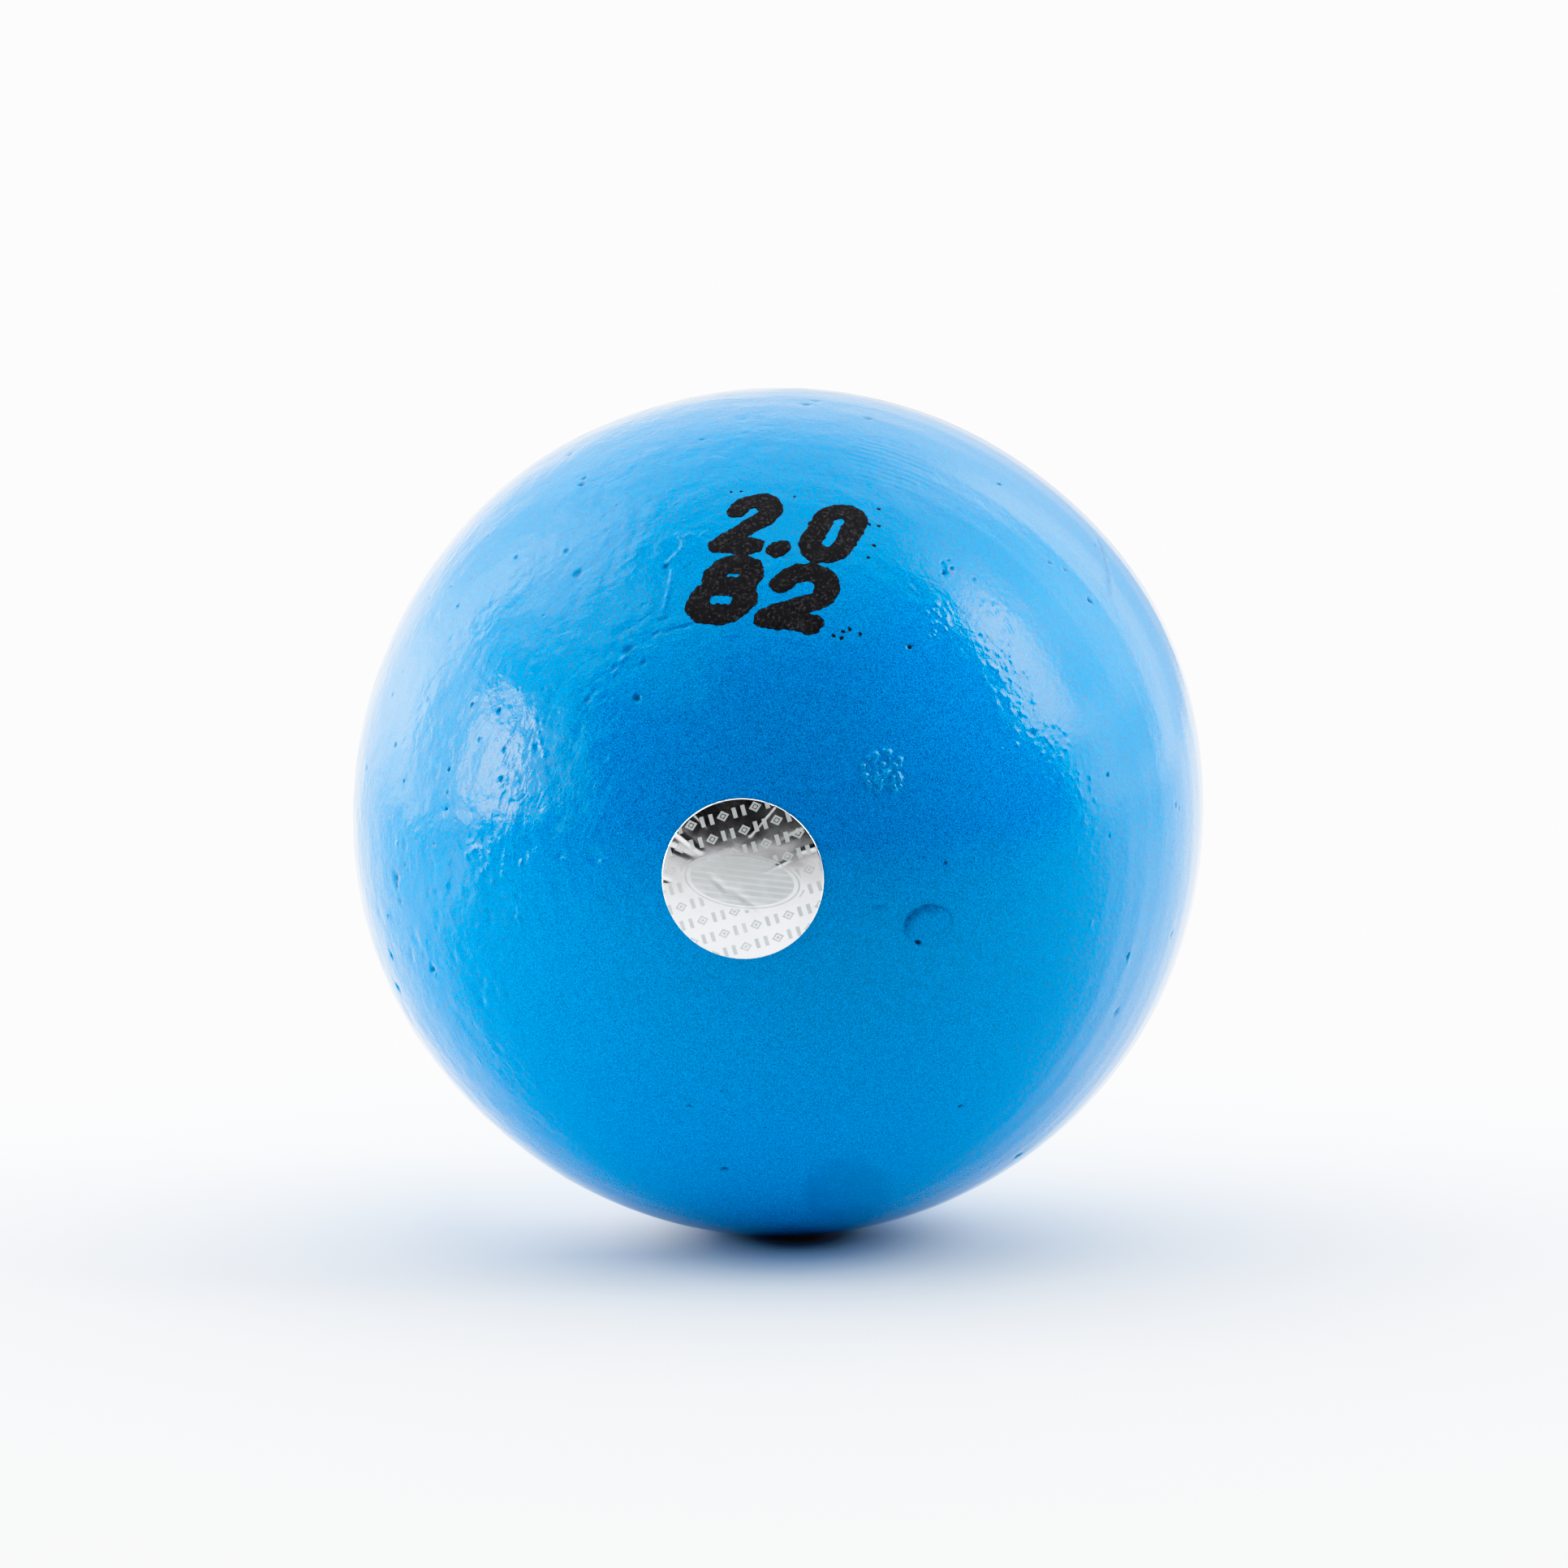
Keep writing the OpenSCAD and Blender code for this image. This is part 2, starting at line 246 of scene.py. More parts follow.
# The rest of the casting has the same skin: scattered pits and pimples where the photograph doesn't reach.
for _ in range(260):
    at = RNG.normal(size=3)
    at /= np.linalg.norm(at)
    if at @ TO_CAM > 0.05:
        continue
    x, y, _n = frame_of(at)
    r = 0.24 + 0.36 * RNG.uniform() ** 2
    if RNG.uniform() < 0.6:
        SPOTS.append(("pit", at, r, 0.3 * r + 0.03, RNG.uniform(1, 1.9), RNG.uniform(0, 180), RNG.uniform(0.5, 1.0)))
    else:
        SPOTS.append(("lump", at, r * 1.2, 0.2 * r, RNG.uniform(1, 1.9), RNG.uniform(0, 180), 0.0))
for _ in range(300):
    at = RNG.normal(size=3)
    at /= np.linalg.norm(at)
    if at @ TO_CAM < 0.0:
        SPOTS.append(("pit", at, RNG.uniform(0.7, 1.5), RNG.uniform(0.03, 0.11), RNG.uniform(1.1, 2.4), RNG.uniform(0, 180), 0.0))
# Small pits over the rough left side of the front.
for _ in range(170):
    px, py = RNG.uniform(440, 900), RNG.uniform(490, 1400)
    if math.hypot(px - 958, py - 1002) > 500 or math.hypot(px - 915, py - 1085) < 130:
        continue
    SPOTS.append(("pit", spot(px, py), RNG.uniform(0.14, 0.3), RNG.uniform(0.02, 0.055), RNG.uniform(1.1, 2.0), RNG.uniform(0, 180), RNG.uniform(0.0, 0.25)))
# Soft dents over the same side, longer along the turning marks.
for _ in range(150):
    px, py = RNG.uniform(445, 1000), RNG.uniform(490, 1480)
    if math.hypot(px - 958, py - 1002) > 505 or math.hypot(px - 915, py - 1085) < 125 or (px > 800 and 560 < py < 1180):
        continue
    way = 90 - math.degrees(math.atan2(1085 - py, px - 915))
    k = 0.55 + 0.45 * min(max((880 - px) / 300, 0.0), 1.0)
    SPOTS.append(("pit", spot(px, py), RNG.uniform(0.45, 1.0), k * RNG.uniform(0.025, 0.07), RNG.uniform(1.2, 2.4), 180 - way + RNG.uniform(-25, 25), 0.0))
# More of them beside the left edge, where the casting is roughest.
for _ in range(46):
    px, py = RNG.uniform(462, 640), RNG.uniform(990, 1250)
    if math.hypot(px - 958, py - 1002) < 508:
        SPOTS.append(("pit", spot(px, py), RNG.uniform(0.45, 0.8), RNG.uniform(0.045, 0.072), RNG.uniform(1.2, 2.2), RNG.uniform(50, 110), 0.0))
LINES = [(w, 1.4 * h, [spot(*p) for p in pts]) for w, h, pts in RIDGES]
# Chips down to the primer: direction and radius in mm.
CHIPS = [(spot(1173, 706), 0.14), (spot(1367, 734), 0.14)]
CHATTER = spot(1098, 572)      # ripples left by a shaking tool
# Flats left by filing, as rings round the label's axis: where one ends and the next starts, in mm along the ball.
FLATS = np.array([29.0, 32.4, 34.6, 38.6, 41.4, 44.8, 48.1, 50.7, 53.6, 56.4, 60.2, 64.0, 69.0, 72.5, 78.0, 82.0,
                  86.4, 90.1, 95.3, 99.0, 104.2, 108.5, 112.0, 117.4, 121.6])
PLUG_X, PLUG_Y, PLUG_N = frame_at(PLUG_AZ, PLUG_EL)


def roughness_of(n):
    """How much of the cast skin shows, 0 on the well-turned side and 1 on the rough side."""
    m = 0.30 * N_MASK(n * 2.2 + 4.0)
    side = -n[:, 0] * 0.85 + n[:, 2] * 0.35 + 0.9 * np.maximum(n[:, 1], 0.0)
    return np.clip(step(-0.25, 0.55, side + m), 0.0, 1.0)


def relief(n):
    """Height in mm of the enamel above the true ball at unit directions, and how much shade is painted into the paint's
    colour in pits, scratches and round the plug.
    """
    n = np.asarray(n, float)
    p = n * R
    rough = roughness_of(n)
    d = np.zeros(len(n))
    for ang, h, width in OUTLINE:
        a = math.radians(ang)
        at = RIGHT * math.cos(a) - UP * math.sin(a)
        d += h * np.exp(-0.5 * (np.degrees(np.arccos(np.clip(n @ at, -1, 1))) / width) ** 2)
    d += 0.05 * N_WAVE(p / 17.0) + 0.018 * N_WAVE(p / 7.5 + 9.0) + (0.010 + 0.042 * rough) * N_DENT(p / 4.6 + 3.0)

    # Bands left by turning and filing, round the label's axis. They are strongest near the right rim.
    c = np.clip(n @ AXIS, -1, 1)
    s = np.arccos(c) * R
    bx, by = n @ AX_X, n @ AX_Y
    q = np.maximum(np.hypot(bx, by), 1e-6)
    band = np.stack([s / 5.2, 0.9 * bx / q, 0.9 * by / q], 1)
    fine = np.stack([s / 1.7, 1.3 * bx / q, 1.3 * by / q], 1)
    rim = step(34.0, 46.0, s)
    right = step(-0.1, 0.75, n[:, 0])
    high = step(0.45, 0.85, n[:, 2])
    d += (0.020 + 0.035 * right * rim) * N_RING(band) + (0.006 + 0.012 * rim) * N_RING(fine + 7.0)
    round_ = np.stack([1.2 * bx / q, 1.2 * by / q, 0 * s + 2.0], 1)
    ws = s + 1.1 * N_RING(round_) + 0.5 * N_RING(3.1 * round_)
    k = np.clip(np.searchsorted(FLATS, ws) - 1, 0, len(FLATS) - 2)
    flat = np.where((ws > FLATS[0]) & (ws < FLATS[-1]), (ws - FLATS[k]) * (FLATS[k + 1] - ws) / (2 * R), 0.0)
    d -= np.minimum(0.10 + 0.85 * right * rim + 0.25 * high + 0.5 * step(0.1, 0.6, n[:, 1]), 0.95) * flat
    chatter = np.exp(-0.5 * (((n @ CHATTER) - 1) * R * R / 7.0) ** 2)
    d += 0.013 * chatter * np.sin(2 * math.pi * (s + 0.25 * N_RING(p / 2.5)) / 0.78)

    # Skin of the casting under the paint.
    ring_way = np.stack([s / 1.5, bx / q * s / 3.6, by / q * s / 3.6], 1)
    under_label = step(LABEL_R - 0.6, LABEL_R + 1.6, np.arccos(c) * R)
    skin = (0.010 + 0.050 * rough) * fbm(N_CAST, p / 2.1, 3, 0.42) + 0.050 * rough * N_DENT(ring_way) * step(-0.15, 0.3, N_MASK(n * 5.0))
    skin += (0.002 + 0.007 * rough) * N_FINE(p / 0.8)
    d = d + skin * (0.15 + 0.85 * under_label)

    dark = np.zeros(len(n))
    for kind, at, r, h, st, an, pit_shade in SPOTS:
        i, u, v = near(n, at, r * math.sqrt(st) * 2.2)
        if not len(i):
            continue
        a, b = turned(u, v, st, an)
        t = np.hypot(a, b) / r
        if kind == "pit":
            d[i] += h * (-(1 - np.clip(t, 0, 1) ** 2) ** 2 + 0.10 * np.exp(-((t - 1.15) / 0.28) ** 2))
            # Painted shade: the paint's colour darkens in the pit's hollow.
            dark[i] = np.maximum(dark[i], pit_shade * np.exp(-((t / 0.72) ** 4)))
        else:
            d[i] += h * np.exp(-(t / 0.62) ** 2 * 1.1)
    for w, h, pts in LINES:
        for a, b in zip(pts, pts[1:]):
            mid = a + b
            mid /= np.linalg.norm(mid)
            i, u, v = near(n, mid, np.linalg.norm(b - a) * R + 1.2)
            if not len(i):
                continue
            x, y, _ = frame_of(mid)
            a2, b2 = np.array([a @ x, a @ y]) * R, np.array([b @ x, b @ y]) * R
            w2 = np.stack([u, v], 1)
            t = np.clip(((w2 - a2) @ (b2 - a2)) / ((b2 - a2) @ (b2 - a2)), 0, 1)
            dist = np.linalg.norm(w2 - a2 - t[:, None] * (b2 - a2), axis=1)
            add = h * np.exp(-(dist / w) ** 2)
            d[i] = np.where(np.abs(add) > 1e-5, d[i] + 0.95 * add, d[i])
            # Painted shade darkens the paint along a scratch's groove.
            if h < 0:
                dark[i] = np.maximum(dark[i], 0.35 * np.exp(-(dist / w) ** 2))

    # The plug's end shows through the paint: sunk at its upper left, proud at its lower right. A wide band of painted
    # shade darkens its sunk upper-left side, and a thin line of painted shade runs along its edge.
    i = np.nonzero(n @ PLUG_N > math.cos(5.0 / R))[0]
    u, v = (n[i] @ PLUG_X) * R, (n[i] @ PLUG_Y) * R
    t = np.hypot(u / 2.42, v / 1.95) + 0.05 * N_DENT(np.stack([u, v, 0 * u], 1) * 0.9)
    inside = 1 - step(0.93, 1.05, t)
    lean = (-0.62 * u / 2.42 + 0.78 * v / 1.95)
    edge = np.exp(-((t - 0.99) / 0.05) ** 2)
    east = 0.86 * u / 2.42 + 0.5 * v / 1.95
    d[i] += inside * (-0.03 - 0.12 * lean) - 0.06 * edge * (0.35 + 0.65 * step(-0.4, 0.5, lean))
    d[i] += 0.045 * np.exp(-((t - 0.90) / 0.055) ** 2) * step(0.45, 0.9, east)
    painted_rim_shade = 1.3 * np.exp(-((t - 0.80) / 0.24) ** 2) * step(-0.1, 0.6, lean) * (0.75 + 0.8 * N_FINE(np.stack([u, v, 0 * u], 1) * 2.2))
    dark[i] = np.maximum(dark[i], np.maximum(0.55 * painted_rim_shade, 0.45 * edge * (0.3 + 0.7 * step(0.1, 0.8, np.maximum(lean, 0.9 * u / 2.42)))))
    return np.maximum(d, R_PRIMER + 0.04 - R), dark


# ---------------------------------------------------------------- meshes
def icosphere(level):
    g = (1 + 5 ** 0.5) / 2
    v = np.array([(-1, g, 0), (1, g, 0), (-1, -g, 0), (1, -g, 0), (0, -1, g), (0, 1, g), (0, -1, -g), (0, 1, -g), (g, 0, -1), (g, 0, 1), (-g, 0, -1), (-g, 0, 1)], float)
    f = np.array([(0, 11, 5), (0, 5, 1), (0, 1, 7), (0, 7, 10), (0, 10, 11), (1, 5, 9), (5, 11, 4), (11, 10, 2), (10, 7, 6), (7, 1, 8), (3, 9, 4), (3, 4, 2), (3, 2, 6), (3, 6, 8), (3, 8, 9), (4, 9, 5), (2, 4, 11), (6, 2, 10), (8, 6, 7), (9, 8, 1)])
    v /= np.linalg.norm(v, axis=1)[:, None]
    for _ in range(level):
        v, f = refine(v, f, np.ones(len(f), bool))
    return v, f


def refine(v, f, marked):
    """Splits the marked triangles of a unit sphere in four, and the neighbours so that no gap opens."""
    e = np.sort(np.stack([f[:, [0, 1]], f[:, [1, 2]], f[:, [2, 0]]], 1), axis=2)
    uniq, inv = np.unique(e.reshape(-1, 2), axis=0, return_inverse=True)
    inv = inv.reshape(-1, 3)
    while True:
        cut = np.zeros(len(uniq), bool)
        cut[inv[marked].ravel()] = True
        more = (cut[inv].sum(1) >= 2) & ~marked
        if not more.any():
            break
        marked = marked | more
    mid = np.full(len(uniq), -1)
    mid[cut] = len(v) + np.arange(cut.sum())
    m = v[uniq[cut, 0]] + v[uniq[cut, 1]]
    v2 = np.vstack([v, m / np.linalg.norm(m, axis=1)[:, None]])
    k = mid[inv]
    full = marked
    a, b, c = f[full].T
    ab, bc, ca = k[full].T
    out = [f[~full & (k < 0).all(1)], np.stack([a, ab, ca], 1), np.stack([b, bc, ab], 1), np.stack([c, ca, bc], 1), np.stack([ab, bc, ca], 1)]
    for j in range(3):
        one = ~full & (k[:, j] >= 0)
        a, b, c = f[one][:, j], f[one][:, (j + 1) % 3], f[one][:, (j + 2) % 3]
        h = k[one][:, j]
        out += [np.stack([a, h, c], 1), np.stack([h, b, c], 1)]
    return v2, np.vstack(out)


def make_mesh(name, verts, faces, smooth=True):
    me = bpy.data.meshes.new(name)
    me.from_pydata([tuple(x) for x in np.asarray(verts) * 0.001], [], [tuple(int(i) for i in x) for x in faces])
    me.validate()
    me.polygons.foreach_set("use_smooth", [smooth] * len(me.polygons))
    me.update()
    ob = bpy.data.objects.new(name, me)
    bpy.context.scene.collection.objects.link(ob)
    return ob


def point_value(ob, name, values):
    at = ob.data.attributes.new(name, "FLOAT", "POINT")
    at.data.foreach_set("value", np.asarray(values, np.float32))


def point_vector(ob, name, values):
    at = ob.data.attributes.new(name, "FLOAT_VECTOR", "POINT")
    at.data.foreach_set("vector", np.asarray(values, np.float32).ravel())


# ---------------------------------------------------------------- the enamelled ball
v, f = icosphere(6)
mid = v[f].mean(1)
mid /= np.linalg.norm(mid, axis=1)[:, None]
v, f = refine(v, f, mid @ TO_CAM > 0.47)
small = [(at, r * math.sqrt(st), pit_shade > 0.66) for kind, at, r, h, st, an, pit_shade in SPOTS if (h > 0.03 or pit_shade > 0.2) and (kind == "lump" or pit_shade > 0 or h > 0.16 * r)]
small += [(at, 0.5, False) for w, h, pts in LINES for at in pts] + [(at, 0.2, True) for at, r in CHIPS]
for size, reach in ((0.40, 1.7), (0.21, 1.3), (0.11, 1.0)):
    mid = v[f].mean(1)
    mid /= np.linalg.norm(mid, axis=1)[:, None]
    edge = np.linalg.norm(v[f[:, 0]] - v[f[:, 1]], axis=1) * R
    marked = np.zeros(len(f), bool)
    for at, r, deep in small:
        if r < size * 2.2 and at @ TO_CAM > 0.1 or deep and size > 0.2 and at @ TO_CAM <= 0.1:
            marked |= (mid @ at > math.cos(min((r * reach + 0.15) / R, 1.0)))
    rim = np.hypot((mid @ PLUG_X) * R / 2.42, (mid @ PLUG_Y) * R / 1.95)
    marked |= (np.abs(rim - 1.0) < 0.16) & (mid @ PLUG_N > 0.9)
    px, py = pixel(mid)
    marked |= (np.hypot((px - 1086) / 33, (py - 953) / 31) < 1) & (mid @ TO_CAM > 0.5)
    if 0.2 < size < 0.3:
        marked |= mid @ CHATTER > math.cos(4.2 / R)
    v, f = refine(v, f, marked & (edge > size))
height, dark = relief(v)
outer = v * (R + height)[:, None]
vi, fi = icosphere(4)
inner = vi * (R_PRIMER + 0.005)
ball = make_mesh("enamel_skin", np.vstack([outer, inner]), np.vstack([f, fi[:, ::-1] + len(outer)]))
# Painted shade for the paint's colour in pits, scratches and round the plug.
point_value(ball, "pit", np.concatenate([dark, np.zeros(len(inner))]))
# A dulled oval low on the front, rougher and with painted shade darkening its colour where the ball mirrors the floor's
# shadow, and the chips that show the primer.
px, py = pixel(v)
oval = np.hypot((px - 1043) / 57.0, (py - 1467) / 41.0) + 0.25 * N_MASK(v * 14.0)
dull_and_painted_shade = np.where(v @ TO_CAM > 0.2, 1 - step(0.75, 1.1, oval), 0.0)
point_value(ball, "dull_and_painted_shade", np.concatenate([dull_and_painted_shade, np.zeros(len(inner))]))
chip = np.zeros(len(v))
for at, r in CHIPS:
    i, a, b = near(v, at, 1.0)
    chip[i] = np.maximum(chip[i], 1 - step(0.6, 1.3, np.hypot(a, b) / r + 0.5 * N_FINE(v[i] * R / 0.3)))
point_value(ball, "chip", np.concatenate([chip, np.zeros(len(inner))]))
# Where the cast skin shows, and places along and across the turning marks, in cells of its streaks.
point_value(ball, "cast", np.concatenate([0.3 + 0.7 * roughness_of(v), np.zeros(len(inner))]))
from_axis = np.arccos(np.clip(v @ AXIS, -1, 1)) * R
turn = np.stack([v @ AX_X, v @ AX_Y], 1) / np.maximum(np.hypot(v @ AX_X, v @ AX_Y), 1e-6)[:, None]
streaks = np.concatenate([(from_axis / 1.15)[:, None], turn * (from_axis / 1.7)[:, None]], 1)
point_vector(ball, "way", np.concatenate([streaks, np.zeros((len(inner), 3))]))
low = outer[:, 2].min() * 0.001
print("enamel triangles", len(f) + len(fi), "relief", height.min(), height.max())


# ---------------------------------------------------------------- the foil label
def on_ball(ax, ay, an, x, y):
    z = np.sqrt(np.maximum(R * R - x * x - y * y, 0.0))
    p = x[:, None] * ax + y[:, None] * ay + z[:, None] * an
    return p / np.linalg.norm(p, axis=1)[:, None]


# Creases, in mm from the label's centre: start, end, half width, height.
CREASES = [
    ((-6.7, 4.7), (-3.9, 2.6), 0.42, 0.15), ((-4.8, 6.4), (-3.3, 4.9), 0.26, 0.085), ((3.25, 7.2), (0.75, 4.2), 0.28, 0.10),
    ((7.5, -2.2), (6.7, -2.4), 0.13, -0.045), ((5.9, -5.2), (5.2, -4.8), 0.14, -0.045), ((-7.6, -0.1), (-6.7, -0.3), 0.3, -0.07),
    ((-6.6, 2.9), (-4.6, 2.1), 0.5, -0.06), ((6.9, 3.1), (5.2, 2.6), 0.35, 0.05), ((5.6, 4.6), (3.6, 3.6), 0.4, -0.03),
    ((-3.0, 0.3), (-1.2, -1.2), 0.5, -0.06), ((-0.9, -1.0), (1.3, -2.5), 0.55, -0.065), ((-1.95, -1.0), (-1.7, -1.7), 0.10, 0.03),
    ((0.2, -1.9), (-0.1, -2.7), 0.09, 0.03), ((0.75, -2.1), (0.7, -2.6), 0.08, 0.025), ((4.4, 1.9), (1.9, 0.6), 0.2, 0.028),
]


def foil_height(x, y):
    h = 0.050 * N_FOIL(np.stack([x / 3.4, y / 3.4, 0 * x + 3.1], 1)) + 0.010 * N_FOIL(np.stack([x / 1.3, y / 1.3, 0 * x + 8.4], 1))
    h = h + 0.03
    for (x0, y0), (x1, y1), w, k in CREASES:
        dx, dy = x1 - x0, y1 - y0
        t = np.clip(((x - x0) * dx + (y - y0) * dy) / (dx * dx + dy * dy), 0, 1)
        dist = np.hypot(x - x0 - t * dx, y - y0 - t * dy)
        fade = np.where(np.hypot(x0, y0) > 5.0, 1 - 0.75 * t, np.sin(math.pi * np.clip(0.12 + 0.76 * t, 0, 1)))
        h = h + k * fade * np.maximum(0, 1 - dist / w) ** 1.35
    return h


def disc(n):
    """Square grid wrapped onto a unit disc, so that no point is crowded."""
    g = np.linspace(-1, 1, n + 1)
    a, b = (q.ravel() for q in np.meshgrid(g, g))
    big = np.abs(a) >= np.abs(b)
    r = np.where(big, a, b)
    with np.errstate(divide="ignore", invalid="ignore"):
        phi = np.where(big, math.pi / 4 * np.where(a == 0, 0, b / np.where(a == 0, 1, a)), math.pi / 2 - math.pi / 4 * np.where(b == 0, 0, a / np.where(b == 0, 1, b)))
    i = np.arange((n + 1) * (n + 1)).reshape(n + 1, n + 1)
    quads = np.stack([i[:-1, :-1], i[:-1, 1:], i[1:, 1:], i[1:, :-1]], -1).reshape(-1, 4)
    ring = np.concatenate([i[0, :-1], i[:-1, -1], i[-1, :0:-1], i[:0:-1, 0]])
    return r * np.cos(phi), r * np.sin(phi), quads, ring


def solid_sheet(name, top, bottom, faces, loops):
    """Closed sheet from matching top and bottom points, with walls along its edge loops."""
    k = len(top)
    walls = [(a, b, b + k, a + k) for ring in loops for a, b in ring]
    allf = [tuple(q) for q in faces] + [tuple(x + k for x in q[::-1]) for q in faces] + [w[::-1] for w in walls]
    return make_mesh(name, np.vstack([top, bottom]), allf)


def edge_pairs(ring):
    return list(zip(ring, np.roll(ring, -1)))


dx, dy, quads, ring = disc(112)
lx, ly = dx * LABEL_R, dy * LABEL_R
ln = on_ball(AX_X, AX_Y, AXIS, lx, ly)
base, _ = relief(ln)
lift = np.maximum(foil_height(lx, ly), -0.03)
top = ln * (R + base + 0.10 + lift)[:, None]
bottom = ln * (R + base + 0.045 + np.maximum(lift, -0.004))[:, None]
foil = solid_sheet("foil_seal", top, bottom, quads, [edge_pairs(ring)])
point_vector(foil, "seal_xy", np.vstack([np.stack([lx, ly, 0 * lx], 1)] * 2))

# ---------------------------------------------------------------- the stamped figures
ROW1_H, ROW2_H, ROW_GAP, GAP, STROKE, SHIFT, WIDE = 7.4, 7.2, 0.5, 0.8, 1.7, -0.5, 1.08
ROW1_W, ROW2_W = ROW1_H * 0.64, ROW2_H * 0.78


def arc(cx, cy, rx, ry, a0, a1, n=22):
    t = np.radians(np.linspace(a0, a1, n))
    return np.stack([cx + rx * np.cos(t), cy + ry * np.sin(t)], 1)


def two(w, h, s):
    r = w / 2 - s / 2
    bowl = arc(w / 2, h - w / 2, r, r, 172, -28)
    return [np.vstack([bowl, [(s * 0.55, s * 0.62)], [(s / 2, s / 2)], [(w - s / 2, s / 2)]])]


def nought(w, h, s):
    r = w / 2 - s / 2
    return [np.vstack([arc(w / 2, h - w / 2, r, r, 0, 180), arc(w / 2, w / 2, r, r, 180, 360), [(w - s / 2, h - w / 2)]])]


def loop(x, y, w, h, s):
    """Middle line of a flat loop, wider than high, whose outside is w by h."""
    r = h / 2 - s / 2
    return np.vstack([arc(x + w - h / 2, y + h / 2, r, r, -90, 90), arc(x + h / 2, y + h / 2, r, r, 90, 270), [(x + w - h / 2, y + s / 2)]])


def eight(w, h, s):
    low_h, up_h, up_w = 0.53 * (h + s), 0.47 * (h + s), 0.86 * w
    return [loop(0.0, 0.0, w, low_h, s), loop((w - up_w) / 2, h - up_h, up_w, up_h, s)]


ROW1_L, ROW2_L = 2 * ROW1_W + 2 * GAP + STROKE, 2 * ROW2_W * WIDE + GAP
LEAN = math.tan(math.radians(MARK_LEAN))
FIGURES = []      # middle lines of a figure, its corner, and its widening
for paths, ox, oy, wide in (
    (two(ROW1_W, ROW1_H, STROKE), SHIFT - ROW1_L / 2, ROW_GAP / 2, 1.0),
    ([np.array([(STROKE / 2, STROKE / 2), (STROKE / 2 + 0.01, STROKE / 2)])], SHIFT - ROW1_L / 2 + ROW1_W + GAP, ROW_GAP / 2, 1.0),
    (nought(ROW1_W, ROW1_H, STROKE), SHIFT - ROW1_L / 2 + ROW1_W + 2 * GAP + STROKE, ROW_GAP / 2, 1.0),
    (eight(ROW2_W, ROW2_H, STROKE), -ROW2_L / 2, -ROW_GAP / 2 - ROW2_H, WIDE),
    (two(ROW2_W, ROW2_H, STROKE), -ROW2_L / 2 + ROW2_W * WIDE + GAP, -ROW_GAP / 2 - ROW2_H, WIDE),
):
    FIGURES.append((paths, ox, oy, wide))


def ink_distance(x, y):
    """Distance in mm outside the inked strokes, below 0 inside, with the ink's ragged edge."""
    best = np.full(len(x), 9.0)
    for paths, ox, oy, wide in FIGURES:
        fx, fy = (x - LEAN * y - ox) / wide, y - oy
        for p in paths:
            for (x0, y0), (x1, y1) in zip(p, p[1:]):
                dx, dy = x1 - x0, y1 - y0
                t = np.clip(((fx - x0) * dx + (fy - y0) * dy) / (dx * dx + dy * dy + 1e-12), 0, 1)
                best = np.minimum(best, np.hypot(fx - x0 - t * dx, fy - y0 - t * dy))
    q = np.stack([x, y, 0 * x + 1.7], 1)
    return best - STROKE / 2 - 0.21 + 0.26 * N_INK(q / 0.9) + 0.16 * N_INK(q / 0.36 + 5.0)


def cut_sheet(cell, x0, x1, y0, y1):
    """Triangles of a square grid where the ink lies, cut along its edge."""
    gx, gy = np.arange(x0, x1, cell), np.arange(y0, y1, cell)
    X, Y = (q.ravel() for q in np.meshgrid(gx, gy))
    s = ink_distance(X, Y)
    s = np.where(np.abs(s) < 0.004, -0.004, s)
    i = np.arange(len(X)).reshape(len(gy), len(gx))
    a, b, c, d = i[:-1, :-1].ravel(), i[:-1, 1:].ravel(), i[1:, 1:].ravel(), i[1:, :-1].ravel()
    tri = np.vstack([np.stack([a, b, c], 1), np.stack([a, c, d], 1)])
    cnt = (s[tri] < 0).sum(1)
    pts, tris, made = list(zip(X, Y)), [tuple(t) for t in tri[cnt == 3]], {}

    def cross(m, n):
        key = (min(m, n), max(m, n))
        if key not in made:
            t = s[key[0]] / (s[key[0]] - s[key[1]])
            made[key] = len(pts)
            pts.append((X[key[0]] + t * (X[key[1]] - X[key[0]]), Y[key[0]] + t * (Y[key[1]] - Y[key[0]])))
        return made[key]

    for t in tri[(cnt == 1) | (cnt == 2)]:
        ins = [int(q) for q in t if s[q] < 0]
        for _ in range(3):
            if len(ins) == 1 and t[0] == ins[0] or len(ins) == 2 and s[t[2]] >= 0:
                break
            t = np.roll(t, -1)
        m, n, o = (int(q) for q in t)
        if len(ins) == 1:
            tris.append((m, cross(m, n), cross(m, o)))
        else:
            no, om = cross(n, o), cross(o, m)
            tris += [(m, n, no), (m, no, om)]
    pts, tris = np.array(pts), np.array(tris)
    used = np.unique(tris)
    back = np.full(len(pts), -1)
    back[used] = np.arange(len(used))
    return pts[used], back[tris]


def open_edges(tris):
    e = np.vstack([tris[:, [0, 1]], tris[:, [1, 2]], tris[:, [2, 0]]])
    key = np.sort(e, 1)
    _, first, count = np.unique(key, axis=0, return_index=True, return_counts=True)
    return [tuple(x) for x in e[first[count == 1]]]


MX, MY, MN = frame_at(MARK_AZ, MARK_EL)
turn = math.radians(MARK_TURN)
MX, MY = MX * math.cos(turn) + MY * math.sin(turn), MY * math.cos(turn) - MX * math.sin(turn)
pts, tris = cut_sheet(0.11, -10.6, 10.6, -9.4, 9.4)
deep = -ink_distance(pts[:, 0], pts[:, 1])
inn = on_ball(MX, MY, MN, pts[:, 0], pts[:, 1])
base, _ = relief(inn)
thick = 0.016 + 0.034 * step(0.0, 0.28, deep) + 0.006 * N_INK(np.stack([pts[:, 0], pts[:, 1], 0 * deep], 1) / 0.5)
top, bottom = inn * (R + base + thick)[:, None], inn * (R + base - 0.02)[:, None]
